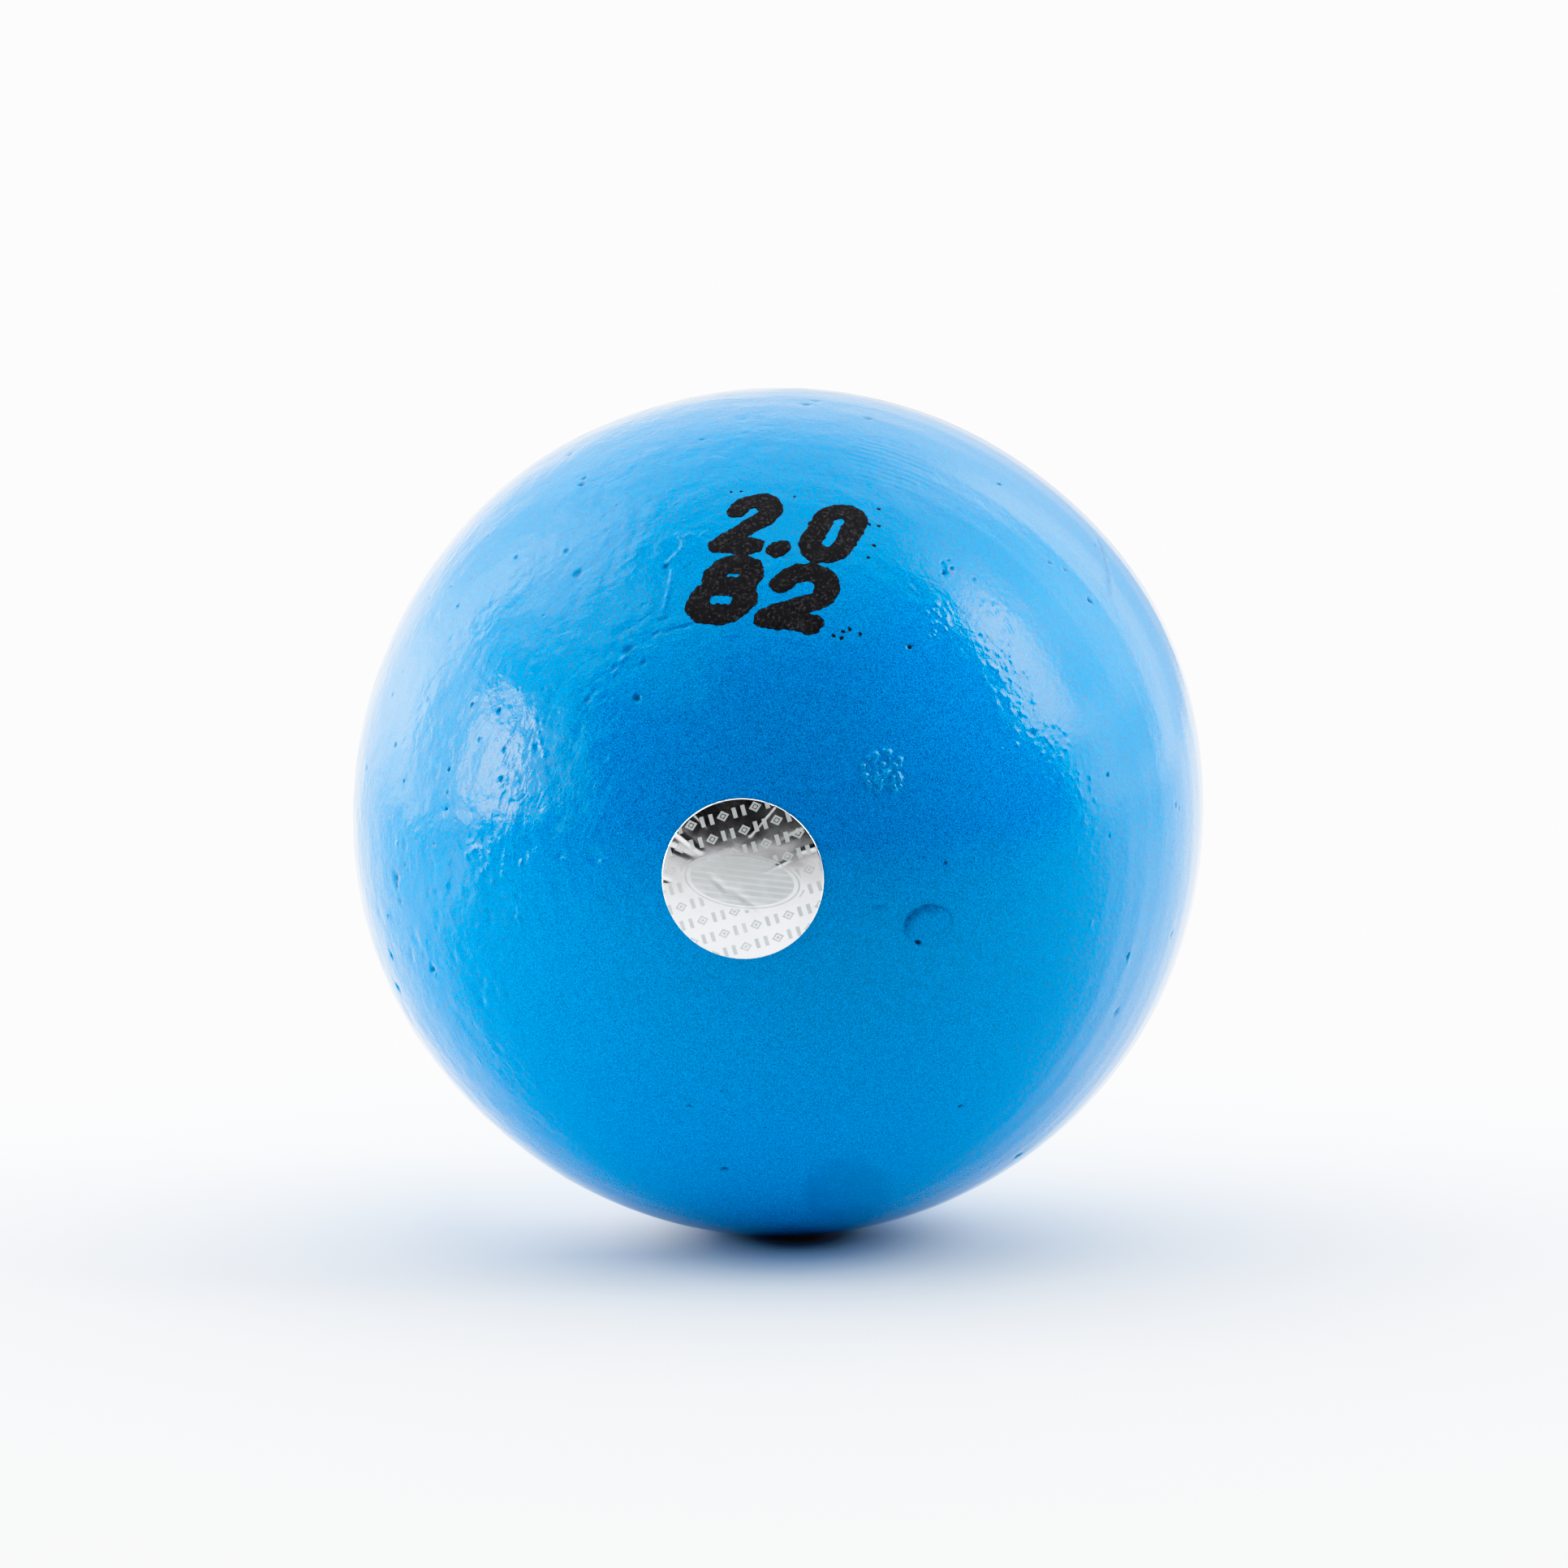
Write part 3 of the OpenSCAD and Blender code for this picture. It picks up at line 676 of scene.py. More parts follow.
# Loose dots of ink round the mark: pixel and radius in mm.
DOTS = [(1064, 647, 0.17), (1071, 646, 0.18), (1083, 627, 0.18), (1083, 648, 0.18), (1077, 672, 0.20), (1070, 687, 0.17), (1027, 783, 0.19), (1039, 778, 0.19),
        (1047, 775, 0.20), (1037, 786, 0.20), (1060, 781, 0.19), (886, 672, 0.20), (882, 699, 0.17), (901, 606, 0.14), (913, 605, 0.14), (1121, 797, 0.18), (979, 612, 0.13)]
parts_v, parts_f, k = [top, bottom], [], len(top)
parts_f += [tuple(t) for t in tris] + [tuple(t[::-1] + k) for t in tris] + [(b, a, a + k, b + k) for a, b in open_edges(tris)]
count = 2 * k
for px, py, r in DOTS:
    at = spot(px, py)
    x, y, _ = frame_of(at)
    segs = 16
    t = np.arange(segs) * 2 * math.pi / segs
    wob = r * (1 + 0.16 * np.sin(2 * t + px) + 0.1 * np.sin(3 * t + py))
    rings = [at[None, :]] + [at + (x * np.cos(t)[:, None] + y * np.sin(t)[:, None]) * (wob * q / R)[:, None] for q in (0.55, 0.88, 1.0)]
    dirs = np.vstack(rings)
    dirs /= np.linalg.norm(dirs, axis=1)[:, None]
    b, _ = relief(dirs)
    lift = np.concatenate([[0.045], np.full(segs, 0.04), np.full(segs, 0.024), np.full(segs, 0.006)])
    tp = dirs * (R + b + lift)[:, None]
    bt = dirs[-segs:] * (R + b[-segs:] - 0.02)[:, None]
    parts_v += [tp, bt]
    o = count
    for j in range(segs):
        j2 = (j + 1) % segs
        parts_f.append((o, o + 1 + j, o + 1 + j2))
        for q in range(2):
            parts_f.append((o + 1 + q * segs + j, o + 1 + (q + 1) * segs + j, o + 1 + (q + 1) * segs + j2, o + 1 + q * segs + j2))
        parts_f.append((o + 1 + 2 * segs + j, o + 1 + 3 * segs + j, o + 1 + 3 * segs + j2, o + 1 + 2 * segs + j2))
    parts_f.append(tuple(o + 1 + 3 * segs + j for j in range(segs))[::-1])
    count += len(tp) + len(bt)
stamp = make_mesh("stamped_figures", np.vstack(parts_v), parts_f)

for ob, node in ((ball, "enamel_coat"), (foil, "label_foil"), (stamp, "weight_stamp")):
    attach(ob, "root")
    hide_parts(node)


# ---------------------------------------------------------------- materials
class Build:
    """Short hand for making a node material."""

    def __init__(self, name):
        self.mat = bpy.data.materials.new(name)
        self.mat.use_nodes = True
        self.t = self.mat.node_tree
        self.t.nodes.clear()
        self.out = self.t.nodes.new("ShaderNodeOutputMaterial")
        self.bsdf = self.t.nodes.new("ShaderNodeBsdfPrincipled")
        self.link(self.bsdf.outputs[0], self.out.inputs["Surface"])
        self.obj = self.t.nodes.new("ShaderNodeTexCoord").outputs["Object"]

    def link(self, a, b):
        self.t.links.new(a, b)

    def put(self, socket, value):
        if hasattr(value, "is_output"):
            self.link(value, socket)
        else:
            socket.default_value = value

    def noise(self, scale, detail=2.0, rough=0.5, vector=None, distort=0.0):
        n = self.t.nodes.new("ShaderNodeTexNoise")
        n.inputs["Scale"].default_value = scale
        n.inputs["Detail"].default_value = detail
        n.inputs["Roughness"].default_value = rough
        n.inputs["Distortion"].default_value = distort
        self.link(vector or self.obj, n.inputs["Vector"])
        return n.outputs["Fac"]

    def voronoi(self, scale, feature="F1"):
        n = self.t.nodes.new("ShaderNodeTexVoronoi")
        n.feature = feature
        n.inputs["Scale"].default_value = scale
        self.link(self.obj, n.inputs["Vector"])
        return n.outputs["Distance"]

    def math(self, op, a, b=0.0, clamp=False):
        n = self.t.nodes.new("ShaderNodeMath")
        n.operation = op
        n.use_clamp = clamp
        self.put(n.inputs[0], a)
        self.put(n.inputs[1], b)
        return n.outputs[0]

    def ramp(self, fac, *stops):
        n = self.t.nodes.new("ShaderNodeValToRGB")
        el = n.color_ramp.elements
        while len(el) < len(stops):
            el.new(0.5)
        for e, (pos, col) in zip(el, stops):
            e.position = pos
            e.color = (*col, 1.0) if isinstance(col, tuple) else (col, col, col, 1.0)
        self.link(fac, n.inputs["Fac"])
        return n.outputs["Color"]

    def range(self, fac, a, b, c, d):
        n = self.t.nodes.new("ShaderNodeMapRange")
        for k, v in zip(("From Min", "From Max", "To Min", "To Max"), (a, b, c, d)):
            n.inputs[k].default_value = v
        self.link(fac, n.inputs["Value"])
        return n.outputs["Result"]

    def mix(self, fac, a, b, kind="MIX"):
        n = self.t.nodes.new("ShaderNodeMix")
        n.data_type = "RGBA"
        n.blend_type = kind
        self.put(n.inputs[0], fac)
        self.put(n.inputs[6], a if hasattr(a, "is_output") else (*a, 1.0))
        self.put(n.inputs[7], b if hasattr(b, "is_output") else (*b, 1.0))
        return n.outputs[2]

    def attr(self, name, out="Fac"):
        n = self.t.nodes.new("ShaderNodeAttribute")
        n.attribute_name = name
        return n.outputs[out]

    def bump(self, height, distance, strength=1.0, normal=None):
        n = self.t.nodes.new("ShaderNodeBump")
        n.inputs["Strength"].default_value = strength
        n.inputs["Distance"].default_value = distance
        self.link(height, n.inputs["Height"])
        if normal is not None:
            self.link(normal, n.inputs["Normal"])
        return n.outputs["Normal"]


def enamel():
    b = Build("azure_enamel")
    cloud = b.noise(38.0, 3.0)
    base = b.mix(b.range(cloud, 0.3, 0.7, 0.0, 1.0), (0.0, 0.139, 0.362), (0.0, 0.145, 0.380))
    mottle = b.ramp(b.noise(9000.0, 0.0), (0.29, 0.40), (0.71, 1.15))
    base = b.mix(1.0, base, mottle, "MULTIPLY")
    speck = b.range(b.noise(900.0, 2.0, 0.6), 0.68, 0.80, 0.0, 0.35)
    base = b.mix(speck, base, (0.0, 0.075, 0.21))
    pit = b.math("MINIMUM", b.attr("pit"), 1.0)
    dull_and_painted_shade = b.attr("dull_and_painted_shade")
    # Painted shade darkens the dulled oval's colour.
    base = b.mix(b.math("MULTIPLY", dull_and_painted_shade, b.range(b.noise(500.0, 3.0), 0.3, 0.7, 0.3, 0.7)), base, (0.0, 0.07, 0.20))
    # Painted shade: the colour turns near black in pits, scratches and round the plug, which also reflect less.
    base = b.mix(pit, base, (0.0, 0.012, 0.035))
    base = b.mix(b.attr("chip"), base, (0.06, 0.022, 0.016))
    b.put(b.bsdf.inputs["Base Color"], base)
    rough = b.range(b.noise(120.0, 4.0, 0.6), 0.35, 0.70, 0.05, 0.085)
    rough = b.math("ADD", rough, b.math("MULTIPLY", b.math("MAXIMUM", pit, b.math("MULTIPLY", dull_and_painted_shade, 0.35)), 0.5))
    b.put(b.bsdf.inputs["Roughness"], rough)
    b.bsdf.inputs["IOR"].default_value = 1.40
    b.put(b.bsdf.inputs["Specular IOR Level"], b.range(pit, 0.0, 0.8, 0.5, 0.06))
    streak = b.math("MULTIPLY", b.noise(1.0, 2.0, 0.5, b.attr("way", "Vector"), 0.6), b.attr("cast"))
    streak = b.math("MULTIPLY", streak, b.range(b.noise(150.0, 2.0), 0.38, 0.62, 0.35, 1.0))
    skin = b.bump(streak, 0.00008, 1.0)
    peel = b.bump(b.noise(1500.0, 3.0, 0.6), 0.000028, 1.0, skin)
    grain = b.bump(b.noise(6500.0, 2.0, 0.6), 0.000006, 1.0, peel)
    b.put(b.bsdf.inputs["Normal"], grain)
    return b.mat


def foil_material():
    b = Build("silver_foil")
    xy = b.attr("seal_xy", "Vector")
    rot = b.t.nodes.new("ShaderNodeVectorRotate")
    rot.rotation_type = "Z_AXIS"
    rot.inputs["Angle"].default_value = math.radians(-17.0)
    b.link(xy, rot.inputs["Vector"])
    sep = b.t.nodes.new("ShaderNodeSeparateXYZ")
    b.link(rot.outputs[0], sep.inputs[0])
    # Rows of lozenges and short bars, each row half a step along from the last.
    row = b.math("DIVIDE", sep.outputs["Y"], 1.75)
    odd = b.math("MULTIPLY", b.math("FLOORED_MODULO", b.math("FLOOR", row), 2.0), 1.55)
    ry = b.math("SUBTRACT", b.math("MULTIPLY", b.math("FRACT", row), 1.75), 0.875)
    rx = b.math("SUBTRACT", b.math("FLOORED_MODULO", b.math("ADD", sep.outputs["X"], odd), 3.1), 1.55)
    loz = b.math("ADD", b.math("DIVIDE", b.math("ABSOLUTE", rx), 0.62), b.math("DIVIDE", b.math("ABSOLUTE", ry), 0.52))
    bx = b.math("SUBTRACT", b.math("ABSOLUTE", b.math("SUBTRACT", b.math("ABSOLUTE", rx), 1.12)), 0.0)
    bar = b.math("MAXIMUM", b.math("DIVIDE", bx, 0.20), b.math("DIVIDE", b.math("ABSOLUTE", ry), 0.50))
    motif = b.math("MAXIMUM", b.range(loz, 0.92, 1.0, 1.0, 0.0), b.range(bar, 0.9, 1.0, 1.0, 0.0))
    ring = b.range(b.math("ABSOLUTE", b.math("SUBTRACT", loz, 0.45)), 0.08, 0.14, 0.0, 1.0)
    motif = b.math("MULTIPLY", motif, ring)
    # Blank oval panel with a thin double border.
    rot2 = b.t.nodes.new("ShaderNodeVectorRotate")
    rot2.rotation_type = "Z_AXIS"
    rot2.inputs["Angle"].default_value = math.radians(6.0)
    b.link(xy, rot2.inputs["Vector"])
    sep2 = b.t.nodes.new("ShaderNodeSeparateXYZ")
    b.link(rot2.outputs[0], sep2.inputs[0])
    ex = b.math("DIVIDE", sep2.outputs["X"], 5.3)
    ey = b.math("DIVIDE", b.math("SUBTRACT", sep2.outputs["Y"], -0.1), 2.5)
    oval = b.math("SQRT", b.math("ADD", b.math("MULTIPLY", ex, ex), b.math("MULTIPLY", ey, ey)))
    panel = b.range(oval, 0.90, 0.92, 1.0, 0.0)
    clear = b.range(oval, 1.06, 1.08, 0.0, 1.0)
    line = b.range(b.math("ABSOLUTE", b.math("SUBTRACT", oval, 1.0)), 0.012, 0.022, 1.0, 0.0)
    stripes = b.math("GREATER_THAN", b.math("ABSOLUTE", b.math("SUBTRACT", b.math("FRACT", b.math("MULTIPLY", sep2.outputs["Y"], 1.7)), 0.5)), 0.18)
    panel = b.math("MULTIPLY", panel, b.math("ADD", 0.55, b.math("MULTIPLY", stripes, 0.4)))
    ink = b.math("MAXIMUM", b.math("MULTIPLY", motif, clear), b.math("MAXIMUM", panel, line), True)
    ink = b.math("MULTIPLY", ink, b.range(b.noise(700.0, 3.0), 0.30, 0.55, 0.72, 1.0))
    smudge = b.noise(260.0, 4.0, 0.6)
    metal = b.ramp(smudge, (0.30, (0.80, 0.80, 0.82)), (0.7, (0.93, 0.93, 0.945)))
    b.put(b.bsdf.inputs["Base Color"], b.mix(ink, metal, (0.50, 0.52, 0.505)))
    b.put(b.bsdf.inputs["Metallic"], b.range(ink, 0.0, 1.0, 1.0, 0.45))
    b.put(b.bsdf.inputs["Roughness"], b.math("ADD", b.math("MULTIPLY", ink, 0.30), b.range(smudge, 0.3, 0.7, 0.10, 0.22)))
    b.put(b.bsdf.inputs["Normal"], b.bump(b.noise(1500.0, 3.0, 0.6), 0.000006, 0.5))
    return b.mat


def ink_material():
    b = Build("stamping_ink")
    mottle = b.noise(650.0, 4.0, 0.65)
    fine = b.noise(3200.0, 2.0, 0.6)
    tone = b.ramp(mottle, (0.32, (0.0006, 0.0006, 0.001)), (0.60, (0.003, 0.003, 0.0035)), (0.78, (0.018, 0.018, 0.019)))
    tone = b.mix(b.range(fine, 0.54, 0.74, 0.0, 0.75), tone, (0.034, 0.034, 0.036))
    b.put(b.bsdf.inputs["Base Color"], tone)
    b.put(b.bsdf.inputs["Roughness"], b.range(mottle, 0.3, 0.7, 0.62, 0.80))
    b.bsdf.inputs["IOR"].default_value = 1.10
    b.put(b.bsdf.inputs["Normal"], b.bump(b.noise(1800.0, 3.0, 0.65), 0.00002, 0.6))
    return b.mat


def rough_metal(name, dark, light, metallic, rough, scale, bump):
    b = Build(name)
    blotch = b.noise(scale, 5.0, 0.6)
    pits = b.voronoi(scale * 3.0)
    tone = b.mix(b.range(pits, 0.05, 0.3, 0.55, 0.0), b.ramp(blotch, (0.3, dark), (0.7, light)), tuple(0.45 * q for q in dark))
    b.put(b.bsdf.inputs["Base Color"], tone)
    b.bsdf.inputs["Metallic"].default_value = metallic
    b.put(b.bsdf.inputs["Roughness"], b.range(blotch, 0.3, 0.7, rough - 0.08, rough + 0.08))
    b.put(b.bsdf.inputs["Normal"], b.bump(b.noise(scale * 6.0, 4.0, 0.6), bump, 0.6))
    return b.mat


ball.data.materials.append(enamel())
foil.data.materials.append(foil_material())
stamp.data.materials.append(ink_material())
for node, mat in (
    ("ball_casting", rough_metal("grey_cast_iron", (0.07, 0.07, 0.072), (0.15, 0.15, 0.155), 0.85, 0.55, 260.0, 0.00005)),
    ("lead_slug", rough_metal("tamped_lead", (0.17, 0.175, 0.185), (0.25, 0.255, 0.265), 0.9, 0.48, 420.0, 0.00003)),
    ("hole_plug", rough_metal("driven_plug", (0.26, 0.26, 0.265), (0.42, 0.42, 0.425), 1.0, 0.36, 520.0, 0.00001)),
    ("primer_coat", rough_metal("red_oxide_primer", (0.16, 0.028, 0.014), (0.24, 0.045, 0.022), 0.0, 0.72, 300.0, 0.00002)),
    ("label_adhesive", rough_metal("label_adhesive", (0.62, 0.62, 0.54), (0.74, 0.74, 0.66), 0.0, 0.40, 500.0, 0.00001)),
):
    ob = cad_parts[node]
    for s in ob.material_slots:
        s.material = mat

# ---------------------------------------------------------------- stage
sc = bpy.context.scene


def plane(name, corners):
    me = bpy.data.meshes.new(name)
    me.from_pydata(corners, [], [(0, 1, 2, 3)])
    me.update()
    ob = bpy.data.objects.new(name, me)
    sc.collection.objects.link(ob)
    return ob


# Floor: a white sheet that ends in front of the ball and runs far back. Its colour has painted shade towards the front,
# and away from the ball it glows for the camera, painted light that brightens it to the room's white.
floor = plane("floor_sheet", [(-0.62, -0.56, low), (2.6, -0.56, low), (2.6, 3.4, low), (-0.62, 3.4, low)])
b = Build("white_sheet")
f_sep = b.t.nodes.new("ShaderNodeSeparateXYZ")
b.link(b.obj, f_sep.inputs[0])
# Painted shade: the sheet's colour darkens towards the front.
fade = b.math("ADD", b.range(f_sep.outputs["Y"], -0.26, -0.04, 0.35, 0.82), b.range(f_sep.outputs["Y"], -0.04, 0.10, 0.0, 0.18))
flat = b.t.nodes.new("ShaderNodeVectorMath")
flat.operation = "MULTIPLY"
b.link(b.obj, flat.inputs[0])
flat.inputs[1].default_value = (1.0, 1.0, 0.0)
gap = b.t.nodes.new("ShaderNodeVectorMath")
gap.operation = "LENGTH"
b.link(flat.outputs[0], gap.inputs[0])
# Painted shadow: the sheet's colour turns blue and dark round where the ball rests, a painted contact shadow with
# painted blue light from the ball.
side = b.math("ABSOLUTE", b.math("SUBTRACT", f_sep.outputs["X"], 0.0015))
side = b.math("MINIMUM", b.math("MULTIPLY", side, 1.9), b.math("ADD", side, 0.018))
rest = b.math("SQRT", b.math("ADD", b.math("MULTIPLY", side, side), b.math("MULTIPLY", f_sep.outputs["Y"], f_sep.outputs["Y"])))
painted_contact_shadow = b.ramp(b.range(rest, 0.0, 0.25, 0.0, 1.0), (0.0, (0.025, 0.025, 0.03)), (0.024, (0.035, 0.032, 0.04)), (0.0344, (0.063, 0.10, 0.22)), (0.0448, (0.26, 0.39, 0.56)),
                   (0.056, (0.42, 0.55, 0.74)), (0.0664, (0.50, 0.62, 0.80)), (0.0776, (0.597, 0.713, 0.847)), (0.102, (0.74, 0.82, 0.90)), (0.1336, (0.81, 0.87, 0.94)),
                   (0.168, (0.80, 0.86, 0.92)), (0.30, (0.85, 0.885, 0.935)), (0.44, (0.93, 0.96, 0.99)), (1.0, (1.0, 1.0, 1.0)))
sheet = b.mix(1.0, b.ramp(b.noise(9.0, 3.0), (0.3, (0.85, 0.85, 0.852)), (0.7, (0.88, 0.88, 0.88))), fade, "MULTIPLY")
b.put(b.bsdf.inputs["Base Color"], b.mix(1.0, sheet, painted_contact_shadow, "MULTIPLY"))
b.bsdf.inputs["Roughness"].default_value = 0.8
b.bsdf.inputs["Specular IOR Level"].default_value = 0.1
b.bsdf.inputs["Emission Color"].default_value = (1, 1, 1, 1)
# Painted light: the sheet glows for the camera away from the ball, towards the front and just left of the ball.
far = b.t.nodes.new("ShaderNodeVectorMath")
far.operation = "LENGTH"
b.link(b.obj, far.inputs[0])
path = b.t.nodes.new("ShaderNodeLightPath")
painted_glow = b.math("ADD", b.range(far.outputs["Value"], 0.06, 0.25, 0.0, 0.27), b.range(far.outputs["Value"], 0.25, 0.8, 0.0, 0.14))
painted_glow = b.math("ADD", painted_glow, b.range(f_sep.outputs["Y"], -0.05, -0.24, 0.0, 0.18))
painted_glow_beside = b.math("MULTIPLY", b.range(f_sep.outputs["X"], -0.0055, -0.0125, 0.0, 1.0), b.range(f_sep.outputs["X"], -0.017, -0.032, 1.0, 0.0))
painted_glow_beside = b.math("MULTIPLY", painted_glow_beside, b.range(f_sep.outputs["Y"], 0.014, 0.04, 1.0, 0.0))
painted_glow = b.math("ADD", painted_glow, b.math("MULTIPLY", painted_glow_beside, b.range(f_sep.outputs["Y"], -0.014, 0.008, 0.0, 0.17)))
painted_glow = b.math("MULTIPLY", painted_glow, path.outputs["Is Camera Ray"])
# Painted reflection: the sheet glows for reflections only, where the low edges of the side boxes show on it as a shine,
# and as a streak to the left.
across, along = f_sep.outputs["X"], f_sep.outputs["Y"]
aside = b.math("ABSOLUTE", across)
shaded = b.math("MULTIPLY", b.range(b.math("SUBTRACT", along, b.math("MULTIPLY", aside, 0.4)), -0.02, 0.02, 1.0, 0.0), b.range(gap.outputs["Value"], 0.016, 0.05, 0.0, 1.0))
painted_sheen_strip = b.math("MULTIPLY", b.range(across, 0.02, 0.05, 0.0, 1.0), b.range(along, -0.004, 0.003, 0.03, 0.16))
painted_sheen = b.math("ADD", b.range(across, -0.02, -0.10, 0.15, 0.21), painted_sheen_strip)
streak = b.math("MULTIPLY", b.range(b.math("ABSOLUTE", b.math("ADD", along, 0.004)), 0.012, 0.045, 0.60, 0.0), b.range(across, -0.10, -0.20, 0.0, 1.0))
painted_sheen = b.math("MULTIPLY", b.math("MULTIPLY", painted_sheen, shaded), b.range(along, -0.05, -0.15, 1.0, 0.0))
painted_sheen = b.math("ADD", painted_sheen, streak)
# Painted light: near the ball the sheet glows for matt light only, a fill that stands in for light bounced onto the
# ball's underside.
painted_bounce_glow = b.math("MULTIPLY", b.range(gap.outputs["Value"], 0.015, 0.03, 0.0, 0.15), b.range(gap.outputs["Value"], 0.05, 0.12, 1.0, 0.0))
painted_glow = b.math("ADD", painted_glow, b.math("MULTIPLY", painted_bounce_glow, path.outputs["Is Diffuse Ray"]))
b.put(b.bsdf.inputs["Emission Strength"], b.math("ADD", painted_glow, b.math("MULTIPLY", painted_sheen, path.outputs["Is Glossy Ray"])))
b.mat.cycles.emission_sampling = "NONE"
floor.data.materials.append(b.mat)

# Studio round the ball: white walls and ceiling behind, a tall soft box on each side, and a dark room in front.
world = bpy.data.worlds.new("studio")
world.use_nodes = True
wt = world.node_tree
wt.nodes.clear()


def w_math(op, a, b=0.0):
    n = wt.nodes.new("ShaderNodeMath")
    n.operation = op
    for k, val in enumerate((a, b)):
        if hasattr(val, "is_output"):
            wt.links.new(val, n.inputs[k])
        else:
            n.inputs[k].default_value = val
    return n.outputs[0]


def w_step(x, a, b):
    n = wt.nodes.new("ShaderNodeMapRange")
    n.interpolation_type = "SMOOTHSTEP"
    lo, hi, flip = (a, b, False) if a < b else (b, a, True)
    for k, val in zip(("From Min", "From Max", "To Min", "To Max"), (lo, hi, 1.0 if flip else 0.0, 0.0 if flip else 1.0)):
        n.inputs[k].default_value = val
    wt.links.new(x, n.inputs["Value"])
    return n.outputs[0]


w_sep = wt.nodes.new("ShaderNodeSeparateXYZ")
wt.links.new(wt.nodes.new("ShaderNodeTexCoord").outputs["Generated"], w_sep.inputs[0])
WX, WY, WZ = w_sep.outputs
W_AZ = w_math("MULTIPLY", w_math("ARCTAN2", WX, w_math("MULTIPLY", WY, -1.0)), 180 / math.pi)
W_EL = w_math("MULTIPLY", w_math("ARCSINE", WZ), 180 / math.pi)


def w_box(az, soft_az, el, soft_el, strength, azimuth=None):
    """Soft-edged patch of the room, in degrees: each edge with the width of its fade."""
    x = azimuth if azimuth is not None else W_AZ
    v = w_math("MULTIPLY", w_step(x, az[0] - soft_az[0], az[0] + soft_az[0]), w_step(x, az[1] + soft_az[1], az[1] - soft_az[1]))
    v = w_math("MULTIPLY", v, w_step(W_EL, el[0] - soft_el[0], el[0] + soft_el[0]))
    v = w_math("MULTIPLY", v, w_step(W_EL, el[1] + soft_el[1], el[1] - soft_el[1]))
    return w_math("MULTIPLY", v, strength)


behind = w_step(w_math("SUBTRACT", WY, w_math("MULTIPLY", WX, 0.15)), -0.42, -0.10)
slant = w_math("SUBTRACT", W_AZ, w_math("MULTIPLY", w_math("MAXIMUM", w_math("SUBTRACT", 20.0, W_EL), 0.0), 0.8))
slant_left = w_math("SUBTRACT", W_AZ, w_math("MULTIPLY", w_math("MAXIMUM", w_math("SUBTRACT", W_EL, 9.0), 0.0), 0.3))
slant_band = w_math("SUBTRACT", W_AZ, w_math("MULTIPLY", W_EL, 0.3))
FAR = w_math("ABSOLUTE", W_AZ)
ROOM = [
    w_math("MULTIPLY", w_math("MULTIPLY", behind, w_step(W_EL, 8.0, 40.0)), 1.2),
    w_box((156, 200), (12, 9), (20, 64), (10, 10), -0.22, FAR),
    w_box((152, 200), (10, 9), (-10, 14), (4, 8), -0.18, FAR),
    w_math("MULTIPLY", w_math("MULTIPLY", w_step(FAR, 92.0, 122.0), w_step(W_EL, 38.0, 8.0)), 0.80),
    w_box((-96, -78), (9, 2.5), (0, 20), (6, 4), 3.65),
    w_box((-122, -78), (14, 4), (-12, 26), (6, 8), 1.32),
    w_box((-140, -121.5), (9, 1.2), (2, 38), (6, 9), 0.83, slant_left),
    w_box((-176, -116), (15, 3), (-8, 14), (4, 8), 0.42),
    w_box((-132, -84), (10, 10), (32, 60), (8, 8), 0.76),
    w_box((-80, -57), (3, 10), (0, 24), (6, 12), 1.8),
    w_box((-74, -24), (8, 10), (34, 60), (6, 8), 0.55),
    w_box((-92, -52), (10, 10), (62, 82), (5, 8), -0.4),
    w_box((74, 95.5), (2.5, 8), (16, 48), (5, 6), 2.55, slant),
    w_box((76, 106), (4, 14), (-16, 58), (8, 10), 0.85, slant),
    w_box((85, 106), (5, 8), (-8, 16), (5, 8), 0.88),
    w_box((102, 128), (10, 3), (11, 36), (6, 8), 0.66),
    w_box((126.5, 141), (0.8, 5), (-25, 40), (6, 8), 0.55, slant_band),
    w_box((84, 150), (10, 10), (38, 66), (8, 8), 0.26),
    w_box((141, 166), (6, 8), (-8, 24), (4, 8), -0.15),
    w_box((-52, 52), (18, 18), (54, 80), (6, 14), 0.5),
]
total = ROOM[0]
for v in ROOM[1:]:
    total = w_math("ADD", total, v)
wo, wm, wd, wl = (wt.nodes.new(k) for k in ("ShaderNodeOutputWorld", "ShaderNodeMixShader", "ShaderNodeBackground", "ShaderNodeBackground"))
lp = wt.nodes.new("ShaderNodeLightPath")
wd.inputs["Color"].default_value = (1.0, 1.0, 1.0, 1)
wl.inputs["Color"].default_value = (1.0, 1.0, 1.0, 1)
total = w_math("MAXIMUM", total, 0.0)
wt.links.new(total, wd.inputs["Strength"])
wt.links.new(lp.outputs["Is Camera Ray"], wm.inputs[0])
wt.links.new(wd.outputs[0], wm.inputs[1])
wt.links.new(wl.outputs[0], wm.inputs[2])
wt.links.new(wm.outputs[0], wo.inputs[0])
sc.world = world

# Fill for the paint's matt light: a soft panel overhead, and a snooted lamp far out on each side whose cone just covers the ball.
def lamp(name, kind, az, el, away, energy, aim=(0.0, 0.0, 0.0)):
    x, y, n = frame_at(az, el)
    light = bpy.data.lights.new(name, kind)
    light.energy = energy
    ob = bpy.data.objects.new(name, light)
    m = np.eye(4)
    m[:3, 0], m[:3, 1], m[:3, 2], m[:3, 3] = x, y, n, n * away + np.array(aim)
    ob.matrix_world = Matrix([list(map(float, r)) for r in m])
    sc.collection.objects.link(ob)
    ob.visible_camera = False
    ob.visible_glossy = False
    return light


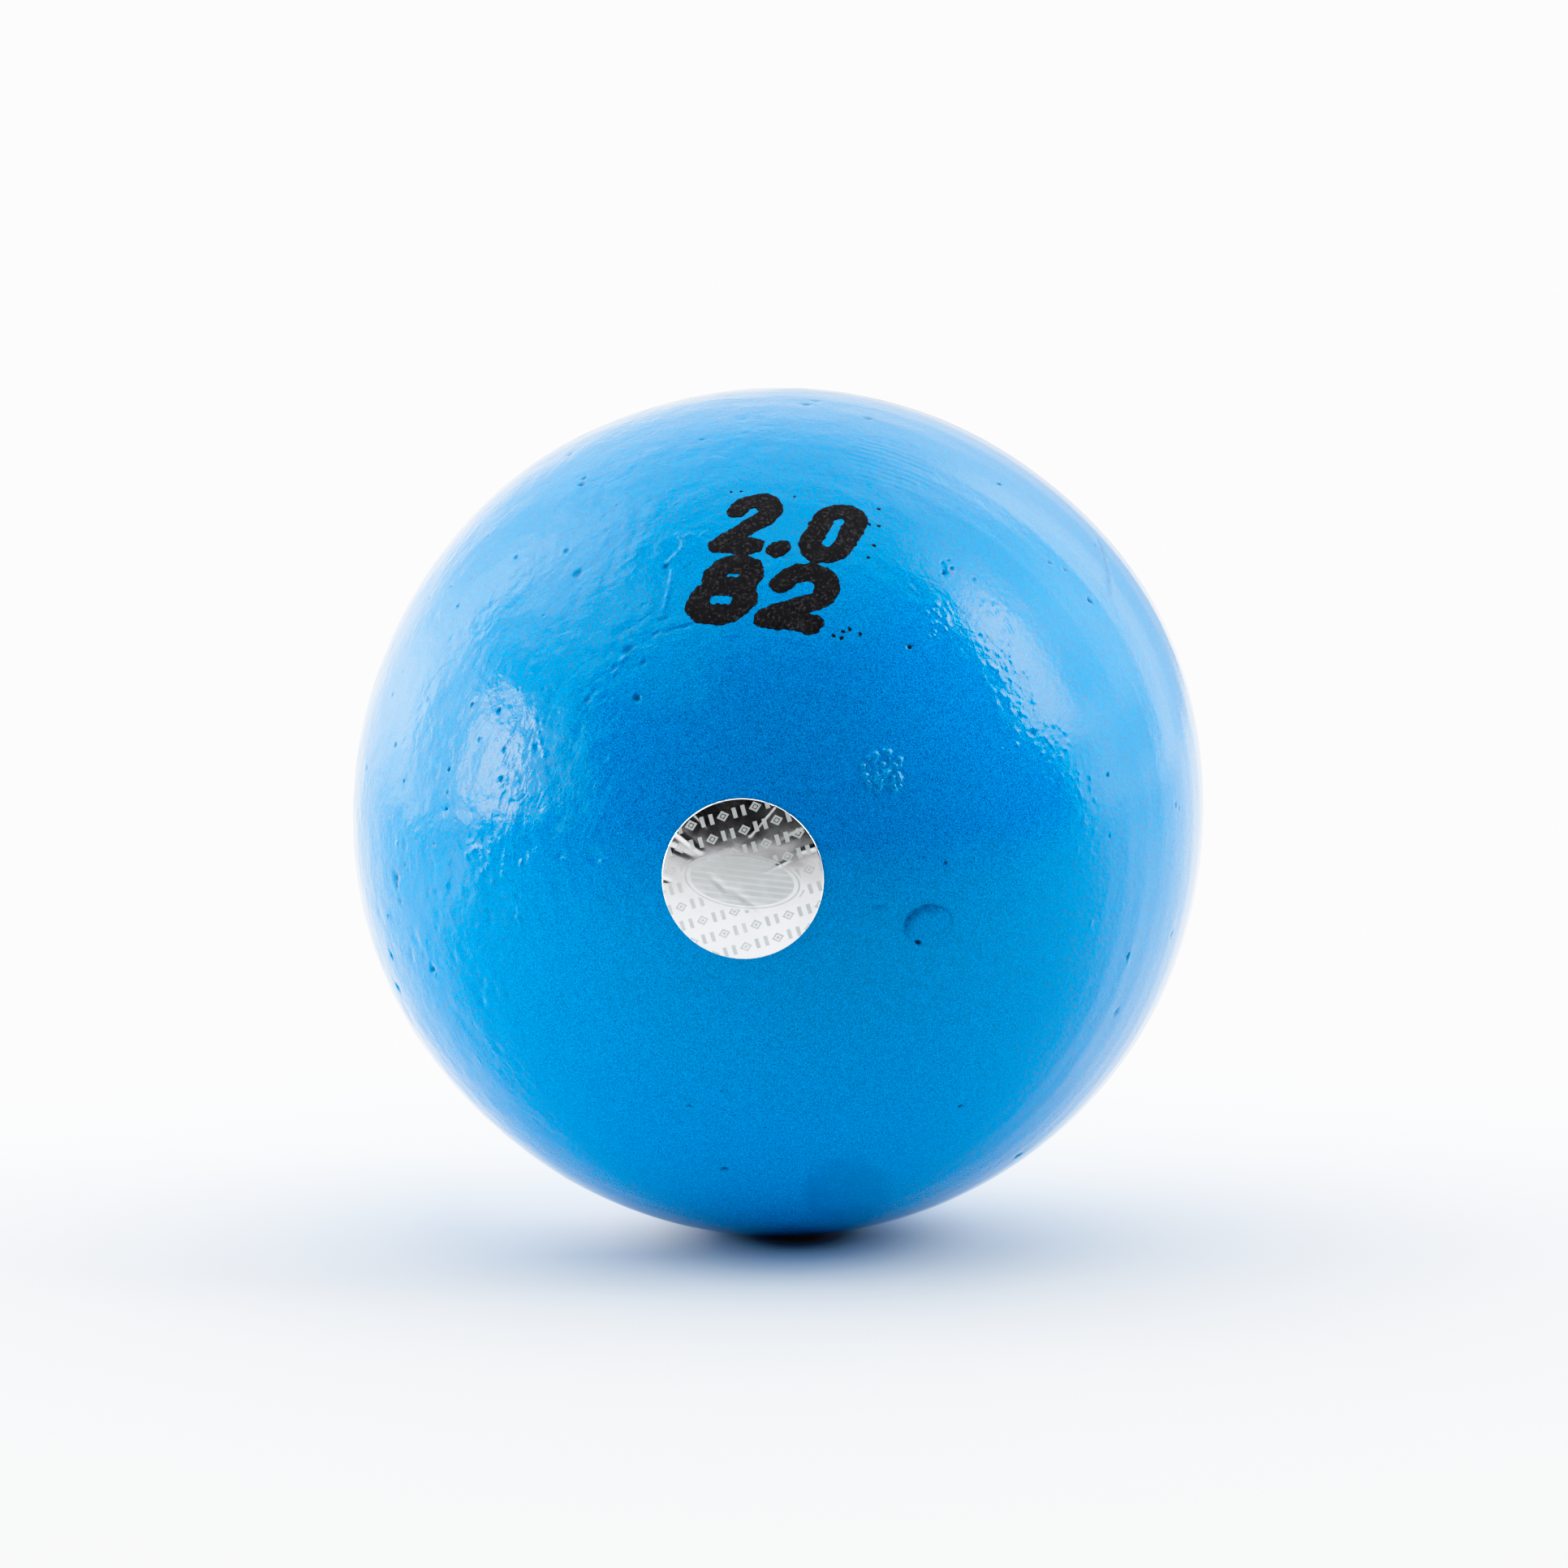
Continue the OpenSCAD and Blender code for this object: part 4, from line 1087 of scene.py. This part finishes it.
overhead = lamp("overhead", "AREA", 180.0, 66.0, 1.25, 1.4)
overhead.shape = "RECTANGLE"
overhead.size, overhead.size_y = 1.6, 1.3
for name, az, el, energy in (("side_left", -80.0, 4.0, 4.4), ("side_right", 76.0, 24.0, 5.5)):
    side = lamp(name, "SPOT", az, el, 1.0, energy)
    side.spot_size = 2 * math.asin(0.0409)
    side.spot_blend = 1.0
    side.shadow_soft_size = 0.004
patch = lamp("upper_right", "SPOT", 66.0, 38.0, 1.0, 5.5, spot(1262, 800) * R * 0.001)
patch.spot_size = 2 * math.asin(0.019)
patch.spot_blend = 1.0
patch.shadow_soft_size = 0.004

# ---------------------------------------------------------------- camera
cam = bpy.data.cameras.new("camera")
cam.sensor_width = 36.0
cam.lens = 18.0 / HALF
cam.clip_start, cam.clip_end = 0.05, 50.0
cam_ob = bpy.data.objects.new("camera", cam)
sc.collection.objects.link(cam_ob)
ahead = -TO_CAM + RIGHT * ((966 - BALL_PX[0]) / 966.0 * HALF) + UP * ((BALL_PX[1] - 966) / 966.0 * HALF)
zc = -ahead / np.linalg.norm(ahead)
xc = np.cross([0.0, 0.0, 1.0], zc)
xc /= np.linalg.norm(xc)
yc = np.cross(zc, xc)
m = np.eye(4)
m[:3, 0], m[:3, 1], m[:3, 2], m[:3, 3] = xc, yc, zc, TO_CAM * DIST * 0.001
cam_ob.matrix_world = Matrix([list(map(float, r)) for r in m])
sc.camera = cam_ob

# ---------------------------------------------------------------- tone of the picture
sc.view_settings.view_transform = "Standard"
sc.view_settings.look = "None"
sc.use_nodes = True
ct = sc.node_tree
ct.nodes.clear()
rl, cc, cv, co = (ct.nodes.new(k) for k in ("CompositorNodeRLayers", "CompositorNodeColorCorrection", "CompositorNodeCurveRGB", "CompositorNodeComposite"))
cc.master_saturation = 1.8
curve = cv.mapping
curve.use_clip = False
TONE = [(x, 1 - math.exp(-3.65 * x)) for x in (0.0, 0.02, 0.045, 0.075, 0.11, 0.15, 0.2, 0.26, 0.33, 0.42, 0.54, 0.7, 0.9, 1.2, 1.6, 2.4)]
line = curve.curves[3]
while len(line.points) < len(TONE):
    line.points.new(0.5, 0.5)
for pt, (x, y) in zip(line.points, TONE):
    pt.location = (x, y)
    pt.handle_type = "AUTO_CLAMPED"
curve.extend = "HORIZONTAL"
curve.update()
ct.links.new(rl.outputs["Image"], cv.inputs["Image"])
ct.links.new(cv.outputs[0], cc.inputs["Image"])
ct.links.new(cc.outputs[0], co.inputs["Image"])
